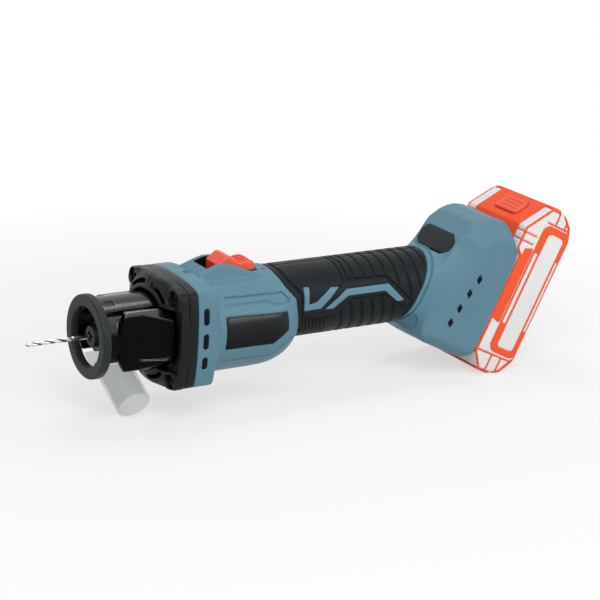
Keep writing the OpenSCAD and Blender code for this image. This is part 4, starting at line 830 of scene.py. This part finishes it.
def coverField(c):
    k, v, s = cover, cover["vent"], cover["screw"]
    section, screw = flangeSection(c), screwDistance(c)
    plate = flangePlate(c, k["face"], k["rear"], k["edge"], k["sharp"])
    dome = meet(shape(c.x, c.rho, k["profile"], 0.8), section, 1.2)
    bosses = meet(both(screw - s["boss"], s["bossX"][0] - c.x), c.x - s["bossX"][1], 1.2)
    field = join(join(plate, dome, 1.5), meet(bosses, section, 1.2), 1.2)
    field = carve(field, shape(c.x, c.rho, k["room"]), 0.6)
    field = carve(field, c.rho - k["bore"], 1)
    cheeks = both(np.abs(c.z) - k["cheekRoom"]["halfHeight"], c.x - k["cheekRoom"]["rear"])
    field = carve(field, cheeks, 0.8)
    around = np.radians(np.degrees(np.arctan2(c.side, np.abs(c.z))) - v["lean"]) * v["radius"]
    arc = math.radians(v["spread"] / 2) * v["radius"]
    vent = rect(c.rho - v["radius"], around, v["half"], arc, v["corner"])
    field = carve(field, both(vent, c.x - v["rear"]), 0.6)
    line = both(c.side - k["line"]["half"], within(c.x, *k["line"]["x"]), -dome - k["line"]["depth"], -c.z)
    field = carve(field, line, 0.4)
    field = carve(field, both(screw - s["head"], c.x - s["headRear"]), 0.8)
    return both(field, s["bore"] - screw)


def makeCover():
    c = Clay(*cover["grid"])
    mould("front.cover", c, coverField(c), "housing", "black_plastic", "blackGrain", "front_cover")
    b, p = bearing, bearing["ports"]
    c = Clay(*b["grid"])
    field = swept(flangeSection(c), c.x, *b["x"], 0.7)
    field = either(field, both(c.rho - b["hub"], within(c.x, *b["hubX"])))
    field = both(field, b["bore"] - c.rho)
    field = carve(field, both(c.rho - b["seat"], b["seatX"] - c.x), 0.4)
    between = (fromMiddle(c, p["pitch"]) - p["spread"]) * p["arc"]
    ports = both(nearLine(c.rho, p["radius"], p["half"]), between)
    field = both(carve(field, ports, 0.8), cover["screw"]["bore"] - screwDistance(c))
    mould("bearing.plate", c, field, "housing", "black_plastic", "blackGrain", "bearing_plate")


# Dust chute: clear tube with a socket at its end, hung from a saddle under the sleeve
chute = {
    "grid": ((6, -18, -62), (52, 18, -10), 0.45), "x": 24.625, "z": -29, "tilt": math.radians(29.4),
    "radius": 12.5, "bore": 10.5, "socket": 11, "socketLength": 14, "top": 16, "length": 30,
    "saddle": {"x": (8, 40), "inner": 22.55, "outer": 24.5, "half": 42},
}


def fromBelow(c):
    return np.degrees(np.arctan2(c.side, -c.z))


def makeChute():
    k, s = chute, chute["saddle"]
    c = Clay(*k["grid"])
    x, z = c.x - k["x"], c.z - k["z"]
    cosine, sine = math.cos(k["tilt"]), math.sin(k["tilt"])
    radius = np.hypot(x * cosine + z * sine, c.y)
    down = x * sine - z * cosine
    tube = swept(radius - k["radius"], down, -k["top"], k["length"], 0.5)
    saddle = both(c.rho - s["outer"], (fromBelow(c) - s["half"]) * math.radians(s["outer"]))
    saddle = meet(saddle, within(c.x, *s["x"]), 0.6)
    field = both(join(tube, saddle, 1.2), s["inner"] - c.rho)
    field = carve(field, radius - k["bore"], 0.3)
    field = carve(field, both(radius - k["socket"], k["length"] - k["socketLength"] - down), 0.3)
    mould("dust.chute", c, field, "housing", "clear_plastic", "clear", "dust_chute")


# Gloss holder: sleeve with a thin nose and a dust slot below, and flared cheeks with a pocket in each
holder = {
    "grid": ((3.4, -33, -24), (60.5, 33, 24), 0.5, 0.5), "front": 6.6, "rear": 59.25, "outer": 22.5,
    "bore": 19.5, "nose": {"x": (4.4, 9.6), "outer": 20.6},
    "slot": {"x": (0, 36), "half": 47, "corner": 3},
    "plan": [(14.5, 17.8), (53, 17.8), (53, 31), (30.7, 24), (17.2, 24), (14.5, 22.1)],
    "side": [(14.5, -10.6), (19.1, -22), (53, -22), (53, 22), (19.1, 22), (14.5, 10.6)],
    "section": [(0, -22), (20.6, -22), (31, -14.1), (31, 14.1), (20.6, 22), (0, 22)],
    "pocket": {"x": 39.3, "half": (11.2, 13.2), "corner": 4,
               "floor": [(14, 0), (53.5, 0), (53.5, 29.6), (30.7, 22.6), (14, 22.6)]},
}


def makeHolder():
    h, p, slot = holder, holder["pocket"], holder["slot"]
    c = Clay(*h["grid"])
    tube = swept(c.rho - h["outer"], c.x, h["front"], h["rear"], 0.5)
    cheeks = meet(shape(c.x, c.side, h["plan"], 1), shape(c.x, c.z, h["side"], 2), 1.2)
    cheeks = meet(cheeks, shape(c.side, c.z, h["section"], 1.2), 1.2)
    pocket = both(rect(c.x - p["x"], c.z, *p["half"], p["corner"]), -shape(c.x, c.side, p["floor"]))
    cheeks = carve(cheeks, pocket, 0.8)
    nose = both(c.rho - h["nose"]["outer"], within(c.x, *h["nose"]["x"]))
    field = both(join(either(tube, nose), cheeks, 0.8), h["bore"] - c.rho)
    arc = math.radians(h["outer"])
    reach = slot["half"] * arc
    opening = pane(c.x, fromBelow(c) * arc, slot["x"], (-reach, reach), slot["corner"])
    field = carve(field, opening, 0.5)
    mould("guide.holder", c, field, "housing", "black_gloss", "blackGloss", "guide_holder")


# Guide ring with a soft rim and four small tabs, and the curved arm behind it
ring = {
    "grid": ((-0.8, -30.5, -30.5), (7.2, 30.5, 30.5), 0.5, 0.5), "x": (0, 6.2), "middle": 25.25, "half": 4.15,
    "rim": 1.1, "tab": {"rho": (20.1, 22), "x": (0.8, 3.8), "pitch": 90, "spread": 4, "arc": 0.36},
}
arm = {
    "grid": ((5, -20, 15), (58.5, 20, 28), 0.5, 0.5), "x": (6.2, 57), "middle": 24.8, "half": 1.9,
    "spread": 36, "arc": 0.43, "notch": {"lean": 18, "half": 2.6, "x": (9.9, 16.1), "floor": 25.4},
}


def makeGuide():
    tab, notch = ring["tab"], arm["notch"]
    c = Clay(*ring["grid"])
    field = swept(nearLine(c.rho, ring["middle"], ring["half"]), c.x, *ring["x"], ring["rim"])
    around = (fromMiddle(c, tab["pitch"]) - tab["spread"]) * tab["arc"]
    tabs = both(tab["rho"][0] - c.rho, c.rho - tab["rho"][1], around, within(c.x, *tab["x"]))
    mould("guide.ring", c, join(field, tabs, 0.6), "depth_guide", "guide_grey", "ringGrey", "guide_foot")
    c = Clay(*arm["grid"])
    lean = np.abs(np.degrees(np.arctan2(c.y, c.z)))
    field = swept(nearLine(c.rho, arm["middle"], arm["half"]), c.x, *arm["x"], 0.6)
    field = meet(field, (lean - arm["spread"]) * arm["arc"], 0.6)
    cut = both(np.abs(lean - notch["lean"]) * arm["arc"] - notch["half"], within(c.x, *notch["x"]),
               notch["floor"] - c.rho)
    mould("guide.arm", c, carve(field, cut, 0.5), "depth_guide", "black_gloss", "glossArm", "guide_arm")


# Battery pack: pale shell with orange edge piping, side frames, bands and hood
pack = {
    "grid": ((-11, -38.2, -59.5), (43.4, 38.2, 81.4), 0.65, 0.35, True), "trimKeep": 0.5, "halfWidth": 37,
    "split": 12, "seam": 0.05, "wall": 2.6, "shy": 0.2, "proud": 0.25, "skin": 0.9, "gap": 0.1,
    "outline": [(0.4, -44.1), (12, -57), (22.5, -57.3), (32.4, -52.6), (42, -39), (41.5, 58), (36, 70),
                (23, 80), (13, 79), (-5, 57), (-5, 39.3), (0.4, 34.9)],
    "plan": {"n": 2, "half": 40, "corner": 4}, "end": {"u": 11, "half": 69, "corner": 7},
    "room": {"n": (3, 39.4), "u": (-47.45, 56.95)},
    "screws": [(24, 62), (-24, 62), (24, -51.2), (-24, -51.2)], "screwBore": 3.2, "screwFrom": 26,
    "neck": ((-5, -23, -40), (2, 23, 35)), "rails": ((-9, -26.5, -40), (-4.4, 26.5, 34)),
    "mouth": ((-30, -18.3, -80), (-1.8, 18.3, -19.6)),
    "blades": {"y": [-12.05, -4.02, 4.02, 12.05], "half": 1.3, "n": (-30, -3), "u": (-30, -5)},
}
lines = {
    "frame": {"n": (11.6, 41), "u": (-39.5, 65), "corner": 7},
    "window": {"n": (18.4, 35.5), "u": (-34.5, 59.5), "corner": 3.5},
    "double": {"inset": 0.8, "half": 0.75, "u": 12.5, "reach": 29},
    "band": [(1.6, -15.5), (10.6, -18), (10.6, 44), (2.6, 41.5)],
    "head": {"u": 66.5, "n": 12.5, "across": (21, 31)},
    "sole": {"u": -41.8, "n": 2, "across": (18, 28)},
    "half": 0.6, "acrossHalf": 0.65, "flank": 33,
    "piping": {"least": 1.7, "most": 2.4, "from": 24, "growth": 0.07},
    "fan": {"u": (46.5, 53), "half": 0.55, "n": 9}, "shin": {"n": 0.4, "u": -44.1, "radius": 1.6},
    "crown": {"u": 76, "n": (12, 22)}, "heel": {"u": -54.8, "n": (9.5, 24)},
    "hood": {"halfWidth": 27, "u": 40.5, "n": 16},
}
latch = {
    "grid": ((-12, -14.5, 56), (18, 14.5, 82), 0.45, 0.5, True), "n": 4, "u": 68,
    "slope": math.atan2(22, 18),   # rise and run of the pack's hood
    "halfLength": 7.5, "halfWidth": 13, "corner": 3, "thick": 7.5, "proud": 1.5, "edge": 0.9,
    "pocket": {"gap": 0.5, "corner": 3.4, "depth": 10.5},
    "ridges": {"first": -3.7, "pitch": 3.7, "count": 3, "half": 0.7, "halfWidth": 9.5, "floor": 0.7},
}


def packSide(c, shrink=0):
    return shape(c.n, c.u, pack["outline"], 2) + pack["shy"] + shrink


def packField(c, shrink=0, wider=0):
    p, e = pack["plan"], pack["end"]
    half = pack["halfWidth"] - shrink + wider
    shy = pack["shy"] + shrink
    plan = rect(c.n - p["n"], c.y, p["half"] - shy, half, p["corner"])
    end = rect(c.y, c.u - e["u"], half, e["half"] - shy, e["corner"])
    return meet(meet(packSide(c, shrink), plan, 1.2), end, 1.2)


def panelField(c, panel):
    return pane(c.n, c.u, panel["n"], panel["u"], panel["corner"])


def nearPair(a, pair, half):
    return either(np.abs(a - pair[0]), np.abs(a - pair[1])) - half


def packLines(c):
    # the orange pattern, as a flat field on the pack's own skin
    n, u = c.n, c.u
    head, sole, hood, fan = [lines[k] for k in ("head", "sole", "hood", "fan")]
    d, crown, heel, pipe = [lines[k] for k in ("double", "crown", "heel", "piping")]
    outer, inner = panelField(c, lines["frame"]), panelField(c, lines["window"])
    double = either(np.abs(outer + d["inset"]), np.abs(inner - d["inset"])) - d["half"]
    framed = both(outer, -inner)
    framed = np.where(np.abs(u - d["u"]) < d["reach"], both(framed, double), framed)
    flank = either(framed, shape(n, u, lines["band"], 1.2))
    flank = either(flank, *[both(nearLine(u, k["u"], lines["half"]), k["n"] - n) for k in (head, sole)])
    flank = both(flank, lines["flank"] - c.side)
    width = np.clip(pipe["least"] + (n - pipe["from"]) * pipe["growth"], pipe["least"], pipe["most"])
    edge = np.hypot(packSide(c), c.side - pack["halfWidth"]) - width
    ends = both(nearPair(n, head["across"], lines["acrossHalf"]), head["u"] - u)
    feet = both(nearPair(n, sole["across"], lines["acrossHalf"]), u - sole["u"])
    rays = both(nearPair(u, fan["u"], fan["half"]), n - fan["n"], hood["halfWidth"] - c.side)
    shin = np.hypot(n - lines["shin"]["n"], u - lines["shin"]["u"]) - lines["shin"]["radius"]
    top = both(crown["u"] - u, crown["n"][0] - n, n - crown["n"][1])
    bottom = both(u - heel["u"], heel["n"][0] - n, n - heel["n"][1])
    cap = both(c.side - hood["halfWidth"], hood["u"] - u, n - hood["n"])
    return either(flank, edge, ends, feet, rays, shin, top, bottom, cap)


def latchFrame(c):
    a, b = c.n - latch["n"], c.u - latch["u"]
    cosine, sine = math.cos(latch["slope"]), math.sin(latch["slope"])
    return a * cosine + b * sine, b * cosine - a * sine


def railField(c):
    b = pack["blades"]
    rails = join(block(c.footAxes, *pack["rails"], 0.5), block(c.footAxes, *pack["neck"], 0.4), 0.5)
    rails = carve(rails, block(c.footAxes, *pack["mouth"], 0.4), 0.5)
    for y in b["y"]:
        low, high = [(n, y + s * b["half"], u) for s, n, u in zip((-1, 1), b["n"], b["u"])]
        rails = carve(rails, block(c.footAxes, low, high, 0.3), 0.4)
    return rails


def makePack():
    k, p = pack, latch["pocket"]
    c = Clay(*k["grid"])
    whole, pattern = packField(c), packLines(c)
    deep = -whole - k["skin"]
    inlay = meet(both(packField(c, wider=k["proud"]), deep), pattern, 0.4)
    shell = carve(whole, both(pattern - k["gap"], deep), 0.4)
    room = both(packField(c, k["wall"]), within(c.n, *k["room"]["n"]), within(c.u, *k["room"]["u"]))
    along, out = latchFrame(c)
    pocket = rect(along, c.y, latch["halfLength"] + p["gap"], latch["halfWidth"] + p["gap"], p["corner"])
    pocket = both(pocket, -out - p["depth"])
    holes = bores(c.y, c.u, k["screws"], k["screwBore"], k["screwFrom"] - c.n)
    shell = carve(carve(carve(shell, room, 0.6), pocket, 0.8), holes, 0.6)
    top = meet(shell, c.n - k["split"] + k["seam"], 0.5)
    top = either(top, both(railField(c), -both(room, -c.n)))
    base = meet(shell, k["split"] + k["seam"] - c.n, 0.5)
    mould("pack.top.case", c, top, "battery_pack", "pack_shell", "packShell", "pack_top_case")
    mould("pack.base.case", c, base, "battery_pack", "pack_shell", "packShell", "pack_base_case")
    mould("pack.trim", c, carve(inlay, pocket, 0.5), "battery_pack", "orange", "packOrange", "pack_trim",
          keep=k["trimKeep"])


def makeLatch():
    r, proud = latch["ridges"], latch["proud"]
    c = Clay(*latch["grid"])
    along, out = latchFrame(c)
    outline = rect(along, c.y, latch["halfLength"], latch["halfWidth"], latch["corner"])
    key = swept(outline, out, proud - latch["thick"], proud, latch["edge"])
    for at in ribPlaces(r):
        ridge = both(nearLine(along, at, r["half"]), c.side - r["halfWidth"], r["floor"] - out)
        key = carve(key, ridge, 0.5)
    mould("latch.button", c, key, "latch_button", "orange", "orange", "latch_button")


# Button on the foot: octagon with a pillowed face and a plunger
button = {
    "grid": ((-51.6, -22, 9), (-44.8, 22, 30), 0.45, 0.5, True), "u": 19.5, "halfWidth": 20.5,
    "halfHeight": 8.25, "corner": 5, "n": (-50.9, -48.9), "pillow": 0.225,
    "plunger": {"radius": 3.5, "n": (-49.2, -45.6)},
}


def makeButton():
    b, p = button, button["plunger"]
    c = Clay(*b["grid"])
    u = c.u - b["u"]
    field = swept(octagon(c.y, u, b["halfWidth"], b["halfHeight"], b["corner"]), c.n, *b["n"], 0.7)
    pillow = b["pillow"] * ((c.y / b["halfWidth"]) ** 2 + (u / b["halfHeight"]) ** 2)
    field = both(field, b["n"][0] + pillow - c.n)
    plunger = both(np.hypot(c.y, u) - p["radius"], within(c.n, *p["n"]))
    mould("mode.button", c, either(field, plunger), "mode_button", "black_plastic", "button", "mode_button")


# Spiral bit: two wound flutes, a plain shank and a point
bit = {
    "radius": 1.6, "tip": -44, "flutes": 30, "point": 2.5, "tail": 19, "shank": 8, "pitch": 19,
    "sides": 32, "rings": 130, "depth": 0.26, "blunt": 0.18, "fade": 4, "fadeEnd": 3, "land": 0.15,
    # bright is the lands' steel; dark is painted shade laid in the flutes along the helix
    "round": 0.8, "bright": (0.66, 0.68, 0.69), "dark": (0.10, 0.105, 0.11), "shade": (0.3, 0.65),
    "shadeStart": -1, "grain": 900, "stretch": (1, 12, 12), "rough": (0.14, 0.26), "bump": 0.05,
}


def bitFinish():
    # the ground lands stay bright, and the wound flutes between them are painted dark as painted shade in
    # their hollows
    material, tree, shader, coords = startMaterial("groundSteelBit")
    split = addNode(tree, "SeparateXYZ", {"Vector": coords}).outputs
    around = mathNode(tree, "ARCTAN2", mathNode(tree, "SUBTRACT", split["Z"], float(origin[2])), split["Y"])
    along = mathNode(tree, "SUBTRACT", split["X"], float(origin[0] + bit["tip"] * mm))
    turns = mathNode(tree, "MULTIPLY", along, 2 * math.pi / (bit["pitch"] * mm))
    wind = mathNode(tree, "SUBTRACT", around, turns)
    wave = mathNode(tree, "COSINE", mathNode(tree, "MULTIPLY", wind, 2))
    start, end = [(bit["flutes"] + bit["point"] + bit[k]) * mm for k in ("shadeStart", "fadeEnd")]
    wound = ramp(tree, along, 1, 0, start, end)
    fluteShade = mathNode(tree, "MULTIPLY", ramp(tree, wave, 0, 1, *bit["shade"]), wound)
    grain = noise(tree, coords, bit["grain"], stretch=bit["stretch"])
    setInputs(tree, shader, {"Base Color": tint(tree, fluteShade, bit["bright"], bit["dark"]),
                             "Roughness": ramp(tree, grain, *bit["rough"]), "Metallic": 1})
    bump(tree, shader, grain, bit["bump"])
    return material


def makeBit():
    b, sides, fluted = bit, bit["sides"], bit["flutes"] + bit["point"]
    stations = np.linspace(b["tip"], b["tip"] + fluted + b["fade"], b["rings"])
    stations = np.concatenate([stations, [b["tail"] - b["shank"], b["tail"]]])
    theta = np.linspace(0, 2 * math.pi, sides, endpoint=False)
    points = []
    for x in stations:
        along = x - b["tip"]
        taper = min(1, b["blunt"] + (1 - b["blunt"]) * along / b["point"])
        fade = min(1, max(0, (fluted + b["fadeEnd"] - along) / b["fade"]))
        wind = theta - 2 * math.pi * along / b["pitch"]
        groove = np.clip((np.cos(2 * wind) + b["land"]) / (1 + b["land"]), 0, 1) ** b["round"]
        r = b["radius"] * taper * (1 - b["depth"] * fade * groove)
        points.append(np.stack([np.full_like(theta, x), r * np.cos(theta), r * np.sin(theta)], 1))
    last = len(stations) - 1
    faces = []
    for i, j in np.ndindex(last, sides):
        here, after = i * sides, (i + 1) * sides
        beside = (j + 1) % sides
        faces.append((here + j, here + beside, after + beside, after + j))
    faces += [tuple(range(sides))[::-1], tuple(last * sides + j for j in range(sides))]
    mesh = bpy.data.meshes.new("spiral.bit")
    mesh.from_pydata(place(np.concatenate(points)).tolist(), [], faces)
    mesh.polygons.foreach_set("use_smooth", np.array([len(f) == 4 for f in faces]))
    looks["bit"] = bitFinish()
    dress(link("spiral.bit", mesh), "spindle", "bit_steel", "bit", "spiral_bit")


for make in (makeHousing, makeShadeScreens, makeMarks, makeGrip, makeSidePlate, makeSlider, makeCover, makeChute,
             makeHolder, makeGuide, makePack, makeLatch, makeButton, makeBit):
    make()
print("pieces made")

# Camera at the photograph's viewing angle
view = {"azimuth": -33.2, "elevation": 18.1, "roll": 3.7, "distance": 1400, "focal": 1933, "image": 600,
        "sensor": 36, "near": 0.05, "far": 20, "target": (172.3, 0, 5.5)}
azimuth, elevation, roll = [math.radians(view[k]) for k in ("azimuth", "elevation", "roll")]
level = Vector((math.cos(azimuth), math.sin(azimuth), 0))
flat = math.cos(elevation)
back = Vector((math.sin(azimuth) * flat, -math.cos(azimuth) * flat, math.sin(elevation)))
upright = back.cross(level)
right = math.cos(roll) * level + math.sin(roll) * upright
up = -math.sin(roll) * level + math.cos(roll) * upright
lensData = bpy.data.cameras.new("camera")
lensData.sensor_width = view["sensor"]
lensData.lens = view["focal"] / view["image"] * view["sensor"]
lensData.clip_start = view["near"]
lensData.clip_end = view["far"]
camera = link("camera", lensData)
eye = Vector(place([view["target"]])[0]) + back * view["distance"] * mm
camera.matrix_world = Matrix.Translation(eye) @ Matrix((right, up, back)).transposed().to_4x4()
bpy.context.scene.camera = camera

# Floor and light: the floor keeps the shadow near the part and is plain white further out
stage = {"floor": 8, "world": 0.3, "pale": 0.95, "bounce": 0.8, "rough": (0.85, 0.95), "grain": 3,
         "fill": 0.62, "near": 0.22, "far": 0.50}
floorMesh = bpy.data.meshes.new("floor")
corners = [(-1, -1), (1, -1), (1, 1), (-1, 1)]
floorMesh.from_pydata([(x * stage["floor"], y * stage["floor"], 0) for x, y in corners], [], [(0, 1, 2, 3)])
floor = link("floor", floorMesh)


def shownRays(tree):
    # camera, mirror and clear plastic rays see the white background
    path = tree.nodes.new("ShaderNodeLightPath").outputs
    clear = mathNode(tree, "MAXIMUM", path["Is Camera Ray"], path["Is Transmission Ray"])
    return mathNode(tree, "MAXIMUM", clear, path["Is Glossy Ray"])


def mixShaders(tree, factor, first, second, out):
    mix = addNode(tree, "MixShader", {"Fac": factor})
    tree.links.new(first, mix.inputs[1])
    tree.links.new(second, mix.inputs[2])
    tree.links.new(mix.outputs["Shader"], out.inputs["Surface"])


floorLook, floorTree, floorShader, floorCoords = startMaterial("paleFloor")
shown = shownRays(floorTree)
setInputs(floorTree, floorShader, {
    "Base Color": tint(floorTree, shown, [stage["bounce"]] * 3, [stage["pale"]] * 3),
    "Roughness": ramp(floorTree, noise(floorTree, floorCoords, stage["grain"]), *stage["rough"]),
    "Specular IOR Level": 0})
reach = floorTree.nodes.new("ShaderNodeVectorMath")
reach.operation = "LENGTH"
floorTree.links.new(floorCoords, reach.inputs[0])
away = ramp(floorTree, reach.outputs["Value"], stage["fill"], 1, stage["near"], stage["far"])
white = addNode(floorTree, "Emission", {}).outputs["Emission"]
floorOut = [node for node in floorTree.nodes if node.type == "OUTPUT_MATERIAL"][0]
faded = mathNode(floorTree, "MULTIPLY", shown, away)
mixShaders(floorTree, faded, floorShader.outputs["BSDF"], white, floorOut)
floorMesh.materials.append(floorLook)

lamps = {
    "keyLight": {"at": (-0.35, -0.75, 0.95), "size": 0.7, "power": 7},
    "topLight": {"at": (0.15, 0.25, 1.1), "size": 0.45, "power": 2.6},
    "sideLight": {"at": (0.60, -0.90, 0.42), "size": 0.45, "power": 2.5},
}
aim = Vector((0, 0, 0.06))
for name, lamp in lamps.items():
    light = bpy.data.lights.new(name, "AREA")
    light.shape = "SQUARE"
    light.size = lamp["size"]
    light.energy = lamp["power"]
    lampObject = link(name, light)
    lampObject.location = lamp["at"]
    lampObject.rotation_euler = (aim - Vector(lamp["at"])).to_track_quat("-Z", "Y").to_euler()

world = bpy.data.worlds.new("studio")
bpy.context.scene.world = world
world.use_nodes = True
sky = world.node_tree
sky.nodes.clear()
lit, seen = [addNode(sky, "Background", {"Color": (1, 1, 1, 1), "Strength": strength}).outputs["Background"]
             for strength in (stage["world"], 1)]
mixShaders(sky, shownRays(sky), lit, seen, addNode(sky, "OutputWorld", {}))
bpy.context.scene.view_settings.view_transform = "Standard"
print("camera, floor and light set")

bpy.context.view_layer.update()
